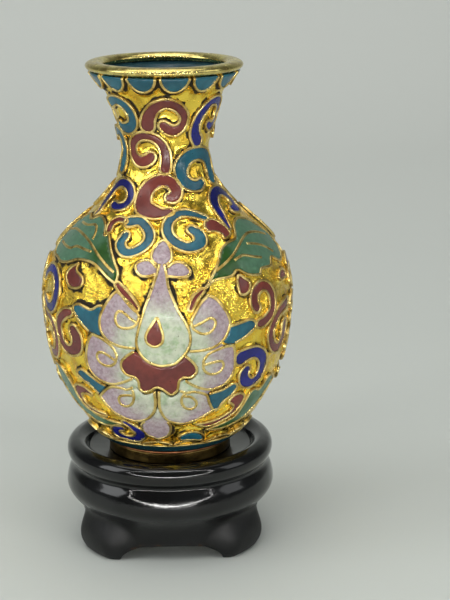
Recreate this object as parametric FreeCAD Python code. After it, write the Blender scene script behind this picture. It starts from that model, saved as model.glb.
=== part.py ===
import FreeCAD, Part
import math
import os

# A small cloisonne vase on a turned and lacquered wooden stand.
# Millimetres. The stand's bottom centre is the origin, +Z is up and the lotus faces -Y.
# Decoration is set out on the vase's side as (angle, height): the angle in degrees from
# the front, growing towards +X, and the height above the floor.

os.makedirs("parts", exist_ok=True)

V = FreeCAD.Vector
V2 = FreeCAD.Base.Vector2d
Z_AXIS = V(0, 0, 1)

# ------------------------------------------------------------------ driving dimensions
# The vase's polished side: height above the floor, radius
SIDE = [(17.46, 10.3), (19.6, 12.7), (22.0, 14.6), (25.36, 16.65), (29.3, 18.18), (33.25, 19.22),
        (37.2, 19.75), (41.15, 20.0), (45.1, 19.52), (49.04, 17.92), (52.99, 14.31),
        (56.94, 10.14), (60.89, 7.86), (64.84, 7.4), (68.78, 8.06), (72.73, 9.5), (76.68, 12.0)]
RELIEF = 0.44            # depth of the enamel layer over the gilt ground
COPPER = 0.9             # thickness of the beaten copper wall
LINING = 0.33            # thickness of the counter-enamel
FIT = 0.04               # seam between pieces that are fused together
WIRE = 0.36              # width of the bent wire
WIRE_PROUD = 0.05        # how far a wire stands over the enamel beside it
LONGEST_WIRE = 8.0       # a longer outline is bent from several lengths of wire
EVEN = 15.0              # makes a step round the side about as long in its parameters as a step up it
STEP = 0.55              # spacing of the points that a curve on the side runs through
SHELL_TOP = 75.9         # the copper wall ends here, under the lip

LIP_R, LIP_Z, LIP_A, LIP_B = 10.8, 77.3, 1.4, 0.75       # elliptical section of the rolled lip
FOOT_OUT, FOOT_IN = 9.83, 8.55                           # foot ring radii
SEAT_Z = 15.45                                           # floor of the stand's recess
FOOT_TOP = 17.25
RECESS_R = 13.2
SEAT_GAP = 0.01          # running gap under the foot ring

STAND_SIDE = [(12.6, 0.0), (12.75, 1.3), (13.0, 2.6), (13.35, 4.0), (14.0, 5.5), (14.95, 6.9), (16.1, 8.2),
              (16.84, 9.6), (16.75, 11.2), (16.35, 12.4), (15.9, 13.2), (15.85, 13.55), (16.15, 14.0),
              (16.6, 14.8), (16.72, 15.6), (16.5, 16.4), (15.9, 17.0), (14.9, 17.3)]
FOOT_TURN = 54.0         # each foot's middle, in degrees from the stand's front or back
FOOT_SPREAD = 10.0       # half the angle that a foot keeps its full section for
FOOT_R, FOOT_Z = 10.9, 2.8                               # middle of a foot's bulge
FOOT_A, FOOT_B, FOOT_C = 5.1, 3.8, 4.7                   # its half sizes: outwards, along the rim, upwards
ARCH_FRONT, ARCH_BESIDE, ARCH_TOP = 8.4, 7.0, 2.7        # half widths and height of the openings between the feet
UNDER_R = 11.2           # radius of the hollow under the stand
UNDER_Z = 5.0            # its depth above the floor

LAPPETS = 14             # teal half discs round the neck, under the lip
ARCHES = 16              # small wire arches round the bottom


# ------------------------------------------------------------------ the curved side
def side_slope(z):
    z = min(max(z, SIDE[0][0] + 0.05), SIDE[-1][0] - 0.05)
    return (side_radius(z + 0.05) - side_radius(z - 0.05)) / 0.1


def side_radius(z):
    return SIDE_CURVE.value(min(max(z, SIDE[0][0]), SIDE[-1][0]) / EVEN).x


def inwards(z, depth):
    """The point that lies this deep under the polished side, as (radius, height)."""
    slope = side_slope(z)
    length = math.hypot(1.0, slope)
    return side_radius(z) - depth / length, z + depth * slope / length


def curve_at(depth, bottom=None, top=None):
    """The side's section at a depth. Its parameter is the polished side's height over EVEN."""
    ends = SIDE[0][0] if bottom is None else bottom, SIDE[-1][0] if top is None else top
    heights = [ends[0]] + [z for z, _ in SIDE if ends[0] + 0.3 < z < ends[1] - 0.3] + [ends[1]]
    curve = Part.BSplineCurve()
    points = [V(r, 0, z) for r, z in (inwards(h, depth) for h in heights)]
    curve.interpolate(Points=points, Parameters=[h / EVEN for h in heights])
    return curve


SIDE_CURVE = Part.BSplineCurve()
SIDE_CURVE.interpolate(Points=[V(r, 0, z) for z, r in SIDE], Parameters=[z / EVEN for z, _ in SIDE])


def ground_surface():
    """The gilt ground. Its first parameter counts from the back, its second is the height."""
    section = curve_at(RELIEF - 0.01)
    section.rotate(FreeCAD.Placement(V(0, 0, 0), Z_AXIS, 90))
    return Part.SurfaceOfRevolution(section, V(0, 0, 0), Z_AXIS)


GROUND = ground_surface()


# ------------------------------------------------------------------ turned pieces
def line(a, b):
    return Part.LineSegment(V(a[0], 0, a[1]), V(b[0], 0, b[1])).toShape()


def turned(edges):
    """A solid of revolution from the edges of its closed half section."""
    wire = Part.Wire(Part.__sortEdges__(edges))
    return Part.Face(wire).revolve(V(0, 0, 0), Z_AXIS, 360)


def turned_polygon(points):
    return turned([line(a, b) for a, b in zip(points, points[1:] + points[:1])])


def wall(outer, inner, bottom, top):
    """A wall between two depths under the polished side."""
    out, inn = curve_at(outer, bottom, top), curve_at(inner, bottom, top)
    return turned([out.toShape(), inn.toShape(),
                   line(inwards(bottom, outer), inwards(bottom, inner)),
                   line(inwards(top, outer), inwards(top, inner))])


def lining():
    """The enamel inside the vase, with its floor."""
    outer, inner = RELIEF + COPPER + FIT, RELIEF + COPPER + FIT + LINING
    low, floor = 19.6, 18.6
    a, b = inwards(low, outer), inwards(low, inner)
    edges = [curve_at(outer, low, SHELL_TOP).toShape(), curve_at(inner, low, SHELL_TOP).toShape(),
             line(inwards(SHELL_TOP, outer), inwards(SHELL_TOP, inner)),
             line(a, (a[0] - 2.25, floor)), line((a[0] - 2.25, floor), (0, floor)),
             line((0, floor), (0, floor + LINING)), line((0, floor + LINING), (b[0] - 2.05, floor + LINING)),
             line((b[0] - 2.05, floor + LINING), b)]
    return turned(edges)


def lip():
    ellipse = Part.Ellipse(V(LIP_R, 0, LIP_Z), LIP_A, LIP_B)
    ellipse.Axis = V(0, 1, 0)
    section = Part.Face(Part.Wire([ellipse.toShape()]))
    ring = section.revolve(V(0, 0, 0), Z_AXIS, 360)
    return ring.cut(wall(-0.5, RELIEF + COPPER + LINING + 0.05, 70.0, SHELL_TOP + 0.02))


def foot_ring():
    z0 = SEAT_Z + SEAT_GAP
    return turned_polygon([(FOOT_IN, z0 + 0.15), (FOOT_IN + 0.15, z0), (FOOT_OUT - 0.2, z0),
                           (FOOT_OUT, z0 + 0.2), (FOOT_OUT, FOOT_TOP), (FOOT_IN, FOOT_TOP)])


def foot_seam():
    """The bright solder line where the ring meets the body."""
    return turned_polygon([(FOOT_IN, FOOT_TOP + 0.01), (FOOT_OUT + 0.12, FOOT_TOP + 0.01),
                           (FOOT_OUT + 0.12, FOOT_TOP + 0.3), (FOOT_IN, FOOT_TOP + 0.3)])


def base_disc():
    return turned_polygon([(0, 17.57), (9.76, 17.57), (9.9, 17.72), (9.36, 18.46), (0, 18.46)])


def base_enamel():
    return turned_polygon([(0, 17.2), (8.5, 17.2), (8.5, 17.55), (0, 17.55)])


def foot_band():
    """The band of enamel round the vase's bottom edge."""
    rows = [17.95, 18.38, 18.82, 19.25]
    outer = [inwards(z, 0.02) for z in rows]
    inner = [inwards(z, RELIEF - FIT) for z in rows]
    return turned([spline_edge(outer), spline_edge(inner), line(outer[0], inner[0]), line(outer[-1], inner[-1])])


# ------------------------------------------------------------------ the stand
def spline_edge(points):
    curve = Part.BSplineCurve()
    curve.interpolate([V(r, 0, z) for r, z in points])
    return curve.toShape()


def ball(half_sizes, middle):
    """An ellipsoid."""
    grow = FreeCAD.Matrix()
    grow.scale(*half_sizes)
    round_body = Part.makeSphere(1.0).transformGeometry(grow)
    round_body.translate(V(*middle))
    return round_body


def stand_foot(angle):
    """A fat rounded foot: an elliptical section turned a little way, with a ball at each end."""
    half_section = Part.Ellipse(V(FOOT_R, 0, FOOT_Z), FOOT_A, FOOT_C)
    half_section.Axis = V(0, -1, 0)
    bar = Part.Face(Part.Wire([half_section.toShape()])).revolve(V(0, 0, 0), Z_AXIS, 2 * FOOT_SPREAD)
    bar.rotate(V(0, 0, 0), Z_AXIS, -FOOT_SPREAD)
    foot = bar
    for turn in (-FOOT_SPREAD, FOOT_SPREAD):
        end = ball((FOOT_A, FOOT_B, FOOT_C), (FOOT_R, 0, FOOT_Z))
        end.rotate(V(0, 0, 0), Z_AXIS, turn)
        foot = foot.fuse(end)
    foot.rotate(V(0, 0, 0), Z_AXIS, angle)
    return foot


def stand_arch(half_width, turn):
    """What is cut away right through under the rim between the feet."""
    ellipse = Part.Ellipse(V(0, 0, 0), half_width, ARCH_TOP)
    arch = Part.Face(Part.Wire([ellipse.toShape()]))
    arch.rotate(V(0, 0, 0), V(1, 0, 0), 90)
    arch.translate(V(0, 30, 0))
    arch = arch.extrude(V(0, -60, 0))
    arch.rotate(V(0, 0, 0), Z_AXIS, turn)
    return arch


def stand():
    low, high = STAND_SIDE[0], STAND_SIDE[-1]
    recess = [high, (14.2, 17.05), (13.5, 16.5), (RECESS_R, 15.9), (RECESS_R, SEAT_Z), (0, SEAT_Z), (0, 0), low]
    body = turned([spline_edge(STAND_SIDE)] + [line(a, b) for a, b in zip(recess, recess[1:])])
    for angle in (90 - FOOT_TURN, 90 + FOOT_TURN, 270 - FOOT_TURN, 270 + FOOT_TURN):
        body = body.fuse(stand_foot(angle))
    body = body.cut(turned_polygon([(0, UNDER_Z), (UNDER_R - 0.4, UNDER_Z), (UNDER_R, UNDER_Z - 0.4), (UNDER_R, -9), (0, -9)]))
    body = body.cut(turned_polygon([(0, 0), (40, 0), (40, -9), (0, -9)]))
    body = body.cut(stand_arch(ARCH_FRONT, 0)).cut(stand_arch(ARCH_BESIDE, 90))
    return body.removeSplitter()


# ------------------------------------------------------------------ curves on the side
def scales(z):
    """Millimetres for a radian round the side and for a millimetre of height."""
    return side_radius(z), math.hypot(1.0, side_slope(z))


def smooth(points, step=0.1):
    """Points every step mm along a soft curve through the given (angle, height) points."""
    middle = sum(p[1] for p in points) / len(points)
    kx, ky = scales(middle)
    flat = [(math.radians(p[0]) * kx, p[1] * ky) + tuple(p[2:]) for p in points]
    knots = [0.0]
    for a, b in zip(flat, flat[1:]):
        knots.append(knots[-1] + math.sqrt(math.dist(a[:2], b[:2])))
    slopes = []
    for i in range(len(flat)):
        lo, hi = max(i - 1, 0), min(i + 1, len(flat) - 1)
        slopes.append([(h - g) / (knots[hi] - knots[lo]) for g, h in zip(flat[lo], flat[hi])])
    made = []
    for i in range(len(flat) - 1):
        span = knots[i + 1] - knots[i]
        count = max(2, int(math.dist(flat[i][:2], flat[i + 1][:2]) / step))
        for n in range(count):
            t = n / count
            h = (2 * t**3 - 3 * t**2 + 1, t**3 - 2 * t**2 + t, 3 * t**2 - 2 * t**3, t**3 - t**2)
            made.append([h[0] * p + h[1] * span * m + h[2] * q + h[3] * span * k
                         for p, m, q, k in zip(flat[i], slopes[i], flat[i + 1], slopes[i + 1])])
    made.append(list(flat[-1]))
    return [(m[0] / kx, m[1] / ky) + tuple(m[2:]) for m in made]


def distance(p, q):
    kx, ky = scales(0.5 * (p[1] + q[1]))
    return math.hypot((p[0] - q[0]) * kx, (p[1] - q[1]) * ky)


def shifted(points, amounts, closed=False):
    """Each point moved to the left of the way the curve runs."""
    count, made = len(points), []
    for i in range(count):
        before = points[i - 1] if closed or i else points[0]
        after = points[(i + 1) % count] if closed or i < count - 1 else points[-1]
        kx, ky = scales(points[i][1])
        dx, dy = (after[0] - before[0]) * kx, (after[1] - before[1]) * ky
        size = math.hypot(dx, dy) or 1.0
        made.append((points[i][0] - amounts[i] * dy / size / kx, points[i][1] + amounts[i] * dx / size / ky))
    return made


def clear_of(point, others, radii):
    kx, ky = scales(point[1])
    return all(((point[0] - q[0]) * kx)**2 + ((point[1] - q[1]) * ky)**2 >= r * r for q, r in zip(others, radii))


def runs_of(points, keep):
    """The unbroken runs of kept points in a closed row, each as a list."""
    if all(keep):
        return [points + points[:1]]
    start = keep.index(False)
    runs, run = [], []
    for i in range(len(points) + 1):
        j = (start + i) % len(points)
        if i < len(points) and keep[j]:
            run.append(points[j])
        elif run:
            runs.append(run)
            run = []
    return [r for r in runs if len(r) > 2]


def leftwards(outline):
    """The outline turned so that its inside lies to the left."""
    area = sum(p[0] * q[1] - q[0] * p[1] for p, q in zip(outline, outline[1:] + outline[:1]))
    return outline if area > 0 else outline[::-1]


def inset(outline, gap):
    """The runs that bound a cell whose edge keeps this gap from the outline."""
    outline = leftwards(outline)
    moved = shifted(outline, [gap] * len(outline), closed=True)
    keep = [clear_of(p, outline, [0.96 * gap] * len(outline)) for p in moved]
    return runs_of(moved, keep)


def band(points):
    """The closed outline of a band, from its centreline points (angle, height, width)."""
    line_points = smooth(points)
    centre = [p[:2] for p in line_points]
    half = [0.5 * p[2] + 0.08 for p in line_points]
    left, right = shifted(centre, half), shifted(centre, [-h for h in half])
    tip = round_end(centre[-1], half[-1], centre[-2])
    tail = round_end(centre[0], half[0], centre[1])
    outline = left + tip[::-1] + right[::-1] + tail[::-1]
    keep = [clear_of(p, centre, [0.95 * h for h in half]) for p in outline]
    return [p for p, k in zip(outline, keep) if k]


def round_end(end, radius, inner):
    """Half a circle round the end of a band, from its right side to its left."""
    kx, ky = scales(end[1])
    facing = math.atan2((end[1] - inner[1]) * ky, (end[0] - inner[0]) * kx)
    turns = [facing - math.pi / 2 + math.pi * n / 8 for n in range(1, 8)]
    return [(end[0] + radius * math.cos(t) / kx, end[1] + radius * math.sin(t) / ky) for t in turns]


# ------------------------------------------------------------------ solids on the side
def even(points, step):
    """Fewer points, about this far apart, with both ends kept."""
    made = [points[0]]
    for p in points[1:-1]:
        if distance(p, made[-1]) >= step and distance(p, points[-1]) >= 0.5 * step:
            made.append(p)
    return made + [points[-1]]


def edge_on_side(points):
    row = [V2(p[0] + math.pi, p[1] / EVEN) for p in points]
    if len(row) == 2:
        return Part.Geom2d.Line2dSegment(row[0], row[1]).toShape(GROUND)
    curve = Part.Geom2d.BSplineCurve2d()
    curve.interpolate(row)
    return curve.toShape(GROUND)


def raised(edges, height):
    """A solid on the gilt ground: the patch inside these edges, this high."""
    face = Part.Face(GROUND, Part.Wire(edges))
    face.validate()
    solid = face.makeOffsetShape(height, 1e-3, fill=True)
    solid = solid.Solids[0] if solid.Solids else Part.Solid(solid)
    if solid.Volume < 0:
        solid.reverse()
    return solid


def strip(points, height=RELIEF - 0.01 + WIRE_PROUD):
    """The bent wires that follow an open row of points: one, or two where it can't be bent so far."""
    row = even(points, STEP)
    left = shifted(row, [WIRE / 2] * len(row))
    right = shifted(row, [-WIRE / 2] * len(row))[::-1]
    length = sum(distance(p, q) for p, q in zip(row, row[1:]))
    try:
        wire = raised([edge_on_side(left), edge_on_side([left[-1], right[0]]),
                       edge_on_side(right), edge_on_side([right[-1], left[0]])], height)
    except (RuntimeError, Part.OCCError):
        wire = None
    if wire and wire.isValid() and 0.8 < wire.Volume / (length * WIRE * height) < 1.2:
        return [wire]
    if len(points) < 9:
        return []
    half = len(points) // 2
    return strip(points[:half], height) + strip(points[half:], height)


def area_of(points):
    """The true area inside a closed row of points."""
    total = 0.0
    for p, q in zip(points, points[1:] + points[:1]):
        kx, ky = scales(0.5 * (p[1] + q[1]))
        total += 0.5 * (p[0] + q[0]) * (q[1] - p[1]) * kx * ky
    return abs(total)


def enamel(outline, gap=WIRE / 2 + 0.03, height=RELIEF - 0.01):
    """The enamel inside a closed outline. The curves run through as few points as keep its shape."""
    runs = inset(outline, gap)
    wanted = area_of([p for run in runs for p in run]) * height
    best, least = None, 0.35
    for step in (STEP, 0.4, 0.3):
        try:
            solid = raised(cell_edges([even(run, step) for run in runs]), height)
        except (RuntimeError, Part.OCCError):
            continue
        off = abs(solid.Volume / wanted - 1.0)
        if solid.isValid() and off < least:
            best, least = solid, off
        if least < 0.08:
            break
    if best is None:
        print("no enamel at", [round(x, 1) for x in (math.degrees(outline[0][0]), outline[0][1])])
    return best


def cell_edges(runs):
    """The edges of a cell, from the runs of points along its sides."""
    if len(runs) == 1 and distance(runs[0][0], runs[0][-1]) < 1e-6:
        half = len(runs[0]) // 2
        return [edge_on_side(runs[0][:half + 1]), edge_on_side(runs[0][half:])]
    corners, edges = [], []
    for i, run in enumerate(runs):
        after = runs[(i + 1) % len(runs)]
        middle = (0.5 * (run[-1][0] + after[0][0]), 0.5 * (run[-1][1] + after[0][1]))
        corners.append(middle if distance(run[-1], after[0]) < 0.3 else None)
    for i, run in enumerate(runs):
        start, end = corners[i - 1], corners[i]
        edges.append(edge_on_side([start or run[0]] + run[1:-1] + [end or run[-1]]))
        if end is None:
            edges.append(edge_on_side([run[-1], runs[(i + 1) % len(runs)][0]]))
    return edges


def unbent(points, limit=50.0):
    """An open row split wherever it turns more sharply than a wire can be bent, or runs too long."""
    row = even(points, 0.2)
    total = sum(distance(p, q) for p, q in zip(row, row[1:]))
    longest = total / math.ceil(total / LONGEST_WIRE)
    parts, part, run = [], row[:1], 0.0
    for before, here, after in zip(row, row[1:], row[2:]):
        kx, ky = scales(here[1])
        first = math.atan2((here[1] - before[1]) * ky, (here[0] - before[0]) * kx)
        second = math.atan2((after[1] - here[1]) * ky, (after[0] - here[0]) * kx)
        turn = (math.degrees(second - first) + 180) % 360 - 180
        part.append(here)
        run += distance(before, here)
        if abs(turn) > limit or run > longest:
            parts.append(part)
            part, run = [here], 0.0
    parts.append(part + row[-1:])
    return [shortened(p, 0.02) for p in parts if len(p) > 3]


def shortened(points, amount):
    """An open row without this much at either end."""
    row = list(points)
    while len(row) > 4 and distance(row[0], points[0]) < amount:
        row = row[1:]
    while len(row) > 4 and distance(row[-1], points[-1]) < amount:
        row = row[:-1]
    return row


# ------------------------------------------------------------------ the design
# A cell is (colour node, wire node, sides). Each side is (own wire or not, points).
def cell(sides):
    """The closed outline and the rows that get a wire of their own."""
    rows = [(own, smooth(points)) for own, points in sides]
    outline = [p for _, row in rows for p in row[:-1]]
    return outline, [part for own, row in rows if own for part in unbent(row)]


OWN, SHARED = True, False

NECK_BANDS = {
    "neck_maroon": [
        [(-20, 68.1, 2.0), (-17.5, 70, 1.75), (-10, 71.7, 1.45), (1, 72.45, 1.3), (11.5, 71.9, 1.2),
         (19, 70.7, 1.1), (20.5, 69.8, 1.0), (17.5, 68.7, 1.1), (10, 68.15, 1.35), (3, 68.4, 1.35), (-2, 69.0, 1.2)],
        [(-1.5, 61.4, 1.5), (0.5, 63, 1.3), (0, 64.5, 1.25), (-3.5, 65.8, 1.1), (-11, 66.9, 1.0),
         (-22, 67.3, 1.0), (-33, 67.0, 1.05), (-41, 66, 1.1), (-42, 64.8, 1.1), (-37.5, 63.7, 1.3),
         (-29, 63.3, 1.4), (-21, 63.7, 1.4), (-18, 64.1, 1.3)],
        [(3, 56.4, 1.0), (-10, 56.2, 1.6), (-20, 57, 2.2), (-22, 58.6, 2.0), (-16, 60.0, 1.7),
         (-4, 60.7, 1.5), (6, 60.3, 1.5), (10.5, 59.2, 1.5), (7.5, 58.3, 1.4), (3.5, 58.2, 1.2)]],
    "neck_teal": [
        [(-66, 72, 1.3), (-54, 72.6, 1.3), (-43, 72, 1.4), (-37, 70.5, 1.3), (-38, 69, 1.4),
         (-46, 68.3, 1.5), (-55, 68.3, 1.2), (-60, 68.8, 1.0)],
        [(62.5, 60.3, 1.7), (64, 61.8, 1.8), (58, 63.6, 1.8), (44, 64.3, 1.6), (29, 64.0, 1.7),
         (19, 62.6, 1.8), (19, 61, 1.6), (26, 59.9, 1.5), (36, 59.6, 1.3), (41, 59.9, 1.2)],
        [(-64, 62, 1.5), (-59, 64.5, 1.2), (-63, 66.8, 1.2), (-75, 67.5, 1.2), (-86, 66.6, 1.1)]],
    "neck_cobalt": [
        [(41, 66.3, 1.6), (36.4, 67.4, 1.5), (36.5, 69, 1.3), (43, 71, 1.2), (53, 72.3, 1.2),
         (64, 72.1, 1.2), (71, 70.8, 1.1), (70, 69, 1.1), (62, 68.2, 1.1), (56, 68.6, 1.0)]],
}
SHOULDER_BANDS = {
    "shoulder_cobalt": [
        [(-66, 55.2, 0.7), (-68, 57.5, 1.2), (-64, 59.2, 1.2), (-53, 59.9, 1.1), (-42, 59.4, 1.1),
         (-36.5, 58.2, 1.1), (-39, 57, 1.1), (-47, 56.6, 1.1), (-52.5, 56.8, 1.0)],
        [(44.5, 53.6, 0.5), (46, 55.5, 1.2), (48, 57.2, 1.5), (56, 58.2, 1.4), (67, 58.2, 1.4),
         (75, 57, 1.5), (72, 55.6, 1.4), (65, 55.6, 1.2)]],
    "shoulder_teal": [
        [(-27, 55.0, 1.6), (-19, 55.1, 1.2), (-12, 54, 1.2), (-11, 52.8, 1.2), (-16, 51.6, 1.2),
         (-22.5, 51.2, 1.2), (-27.5, 52.2, 1.2), (-26.5, 53.3, 1.1)],
        [(30, 55.3, 0.8), (20, 56.0, 1.0), (10, 56.1, 1.0), (2, 55.2, 1.1), (0.5, 53.9, 1.2),
         (5, 52.6, 1.3), (12, 51.9, 1.4), (19, 52.3, 1.6), (20.5, 53.3, 1.6), (17, 54.0, 1.3)]],
    "shoulder_maroon": [
        [(-30.2, 54.9, 0.35), (-33, 55.1, 0.6), (-38, 55.1, 0.8), (-41.5, 54.5, 0.9), (-40.2, 53.6, 0.7)]],
}
SIDE_BANDS = {
    "side_maroon": [
        [(-48.2, 41.6, 0.9), (-52, 41.2, 1.2), (-57, 39.6, 1.3), (-57.8, 37.6, 1.3), (-55.5, 35.9, 1.3),
         (-50.5, 35.3, 1.3), (-45.8, 36.2, 1.9), (-45, 37.7, 1.9), (-46.6, 38.7, 1.7)],
        [(44.3, 39.6, 1.1), (48, 39.8, 1.3), (53, 41, 1.3), (54, 43, 1.2), (51.5, 44.8, 1.2),
         (47, 45.3, 1.2), (42.5, 44.5, 1.3), (41.5, 43, 1.3), (42.7, 42.2, 1.2)],
        [(68, 41.2, 1.3), (60, 40.3, 1.3), (54.5, 38.6, 1.3), (53.5, 36.7, 1.3), (57, 34.8, 1.3),
         (62, 34.4, 1.3), (66.5, 36, 1.6), (66.8, 37.8, 1.5)],
        [(76.6, 40.3, 0.8), (81, 41.0, 1.2), (86.6, 40.3, 1.3), (88.6, 38.5, 1.3), (85, 37.2, 1.2), (80, 37.6, 1.0)],
        [(79, 28.7, 0.6), (83.6, 27.9, 1.1), (90, 27.5, 1.3), (96, 28.1, 1.0), (100, 28.9, 0.6)],
        [(64.8, 45.5, 0.8), (67.6, 45.7, 1.2), (70.4, 45.5, 0.8)],
        [(-23.2, 46.9, 0.45), (-19, 45.5, 0.6), (-16, 44.3, 0.6), (-13.9, 43.5, 0.4)],
        [(16.2, 46.0, 0.35), (12.5, 44.9, 0.4), (9.9, 43.3, 0.35)],
        [(-72, 40, 1.0), (-66, 39.2, 1.2), (-62.5, 37.5, 1.2), (-62.5, 35.2, 1.2), (-66, 33.6, 1.2), (-72, 33.4, 1.1)]],
    "side_cobalt": [
        [(34.6, 34.7, 2.0), (39, 35.1, 1.6), (44, 35.0, 1.5), (48.5, 33.8, 1.6), (49.8, 32.2, 1.6),
         (48, 30.6, 1.4), (43.5, 29.9, 1.3), (39, 30.5, 1.6), (37.5, 31.7, 1.5), (38.5, 32.4, 1.4)],
        [(78.6, 43.8, 0.8), (81, 46.0, 1.3), (87, 46.9, 1.3), (93, 46.0, 1.3), (95, 44.0, 1.3), (91, 42.6, 1.3),
         (86, 43.2, 1.1)],
        [(98.4, 35.0, 0.7), (101.6, 33.7, 1.2), (101.4, 31.8, 1.2), (97.8, 30.8, 0.9)],
        [(-77, 45.5, 1.3), (-72, 46.8, 1.2), (-66, 46.7, 1.3), (-61, 45.4, 1.4), (-60.3, 43.5, 1.5),
         (-63, 41.6, 1.4), (-68, 41.0, 1.3), (-72.5, 41.9, 1.2)]],
    "side_teal": [
        [(94, 39.8, 0.8), (97.6, 40.8, 1.2), (101.6, 39.9, 1.3), (102.4, 38.0, 1.2), (98.8, 37.1, 1.0)],
        [(77, 33.0, 0.8), (80.6, 34.7, 1.3), (86.4, 35.1, 1.4), (91.4, 34.0, 1.5), (93, 31.9, 1.4), (89.4, 30.5, 1.3),
         (84.8, 31.1, 1.1)]],
}
LOW_BANDS = {
    "low_maroon": [
        [(-42.4, 28.5, 0.4), (-47, 28.9, 1.0), (-52, 28.5, 1.4), (-52.5, 27.3, 1.1), (-50, 26.0, 0.8),
         (-44, 25.2, 0.6), (-37, 24.9, 0.35)]],
    "low_cobalt": [
        [(-26, 24.1, 0.5), (-21.5, 23.1, 0.8), (-18.2, 21.9, 1.1), (-21.5, 20.9, 0.95), (-29, 20.7, 0.95),
         (-35.2, 21.3, 1.15), (-34.4, 22.3, 0.85), (-29.5, 22.6, 0.7)]],
    "low_teal": [
        [(9.0, 21.3, 1.2), (12.5, 21.5, 1.7), (16.5, 21.3, 1.5), (20.5, 20.7, 0.8)]],
}

HEART_LOW = [(-15.3, 36.9), (-19.4, 35.9), (-21.6, 34.9), (-21.3, 33.7), (-18.8, 32.9), (-15.6, 32.7),
             (-14.1, 31.9), (-13.9, 30.8), (-11.9, 30.2), (-8.8, 30.5), (-5.6, 31.1), (-2.5, 30.6),
             (0.6, 29.8), (3.1, 30.2), (4.1, 30.9), (4.6, 32.1), (6.5, 32.65), (10, 32.65), (12.5, 33.5),
             (11.6, 34.7), (7.5, 36.2)]
BULB = [(-3.9, 49.9), (-5, 48.5), (-7.3, 46.3), (-10.3, 43.5), (-11.7, 41.8), (-13, 40.3), (-14, 38.5), (-13.75, 37.65),
        (-12.5, 36.6), (-9.4, 35.4), (-5, 34.8), (-2.5, 34.7), (2.5, 35.0), (4.4, 35.5), (7.5, 36.7),
        (9.1, 37.9), (9.5, 39), (8.75, 40.3), (7.2, 41.6), (5, 42.9), (2.3, 45), (0.3, 46.8), (-0.5, 48.5), (-1.4, 49.9)]
TEARDROP = [(-4.7, 42.4), (-7.4, 41), (-9.6, 39.6), (-9.2, 38.4), (-6, 37.8), (-2.9, 38.4), (-2.4, 39.6),
            (-3.5, 41), (-4.7, 42.4)]

PETALS = [
    [(OWN, [(-23, 45.9), (-24.7, 45.5), (-28.3, 43.7), (-30.7, 41.8), (-30.7, 40), (-28, 38.5), (-25, 37.9),
            (-20.6, 37.5), (-14.6, 37.4)]),
     (SHARED, [(-14.6, 37.4), (-14.3, 38.7), (-13.2, 40.5), (-12.2, 41.6), (-12.3, 42.4)]),
     (OWN, [(-12.3, 42.4), (-14.3, 43.5), (-18.3, 44.8), (-23, 45.9)])],
    [(OWN, [(-35, 38.9), (-36.9, 38.3), (-39, 36.6), (-40, 34.8), (-39.4, 33.3), (-36.2, 31.9), (-32.5, 31.3),
            (-26.9, 31.1), (-21.9, 31.6), (-16.9, 32.4)]),
     (SHARED, [(-16.9, 32.4), (-19.2, 32.75), (-21.8, 33.5), (-22.3, 34.9), (-23.4, 35.9)]),
     (OWN, [(-23.4, 35.9), (-25, 37.2), (-30, 38.4), (-35, 38.9)])],
    [(OWN, [(-7.0, 30.3), (-6.9, 28.1), (-8.1, 26.6), (-11.9, 25.3), (-17.5, 24.7), (-23.75, 25.0),
            (-30, 25.9), (-33.75, 27.2), (-36.25, 28.5)]),
     (OWN, [(-36.25, 28.5), (-33.1, 29.5), (-28.75, 30.5), (-23.75, 30.6), (-20, 30.4), (-17.2, 30.9)]),
     (SHARED, [(-17.2, 30.9), (-14.8, 30.6), (-12.2, 29.7), (-8.8, 29.9), (-7.0, 30.3)])],
    [(OWN, [(18, 45.3), (21.7, 44.6), (25, 43.1), (27, 41.8), (27.7, 40.5), (25.6, 38.7), (22.5, 37.65),
            (18.8, 37.1), (13.75, 36.9), (9.2, 36.9)]),
     (SHARED, [(9.2, 36.9), (10.1, 38.3), (10.0, 39.6), (9.3, 40.7), (9.8, 41.6)]),
     (OWN, [(9.8, 41.6), (11, 42.4), (14.3, 44.2), (18, 45.3)])],
    [(OWN, [(30, 37), (30.75, 35.9), (31.25, 34.4), (30.9, 32.65), (28.75, 31.35), (25, 30.5), (20, 30.2),
            (15, 30.6), (10.6, 31.35), (7.5, 32.1)]),
     (SHARED, [(7.5, 32.1), (10.5, 32.2), (13.3, 33.3), (13.2, 34.7), (15.6, 35.3)]),
     (OWN, [(15.6, 35.3), (18.1, 36.3), (22.5, 36.8), (26.25, 37.1), (30, 37)])],
    [(OWN, [(-4.8, 30.3), (-5, 28.1), (-4.4, 26.8), (-1.9, 25.3), (1.9, 24.6), (7.5, 24.3), (13.75, 24.8),
            (20, 25.8), (22.8, 26.35)]),
     (OWN, [(22.8, 26.35), (20, 27.9), (18.4, 29.2), (15, 29.8), (11.25, 30.1), (8, 30.0), (5, 30.4)]),
     (SHARED, [(5, 30.4), (3.6, 29.7), (0.6, 29.3), (-2.5, 30.1), (-4.8, 30.3)])],
]
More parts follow.
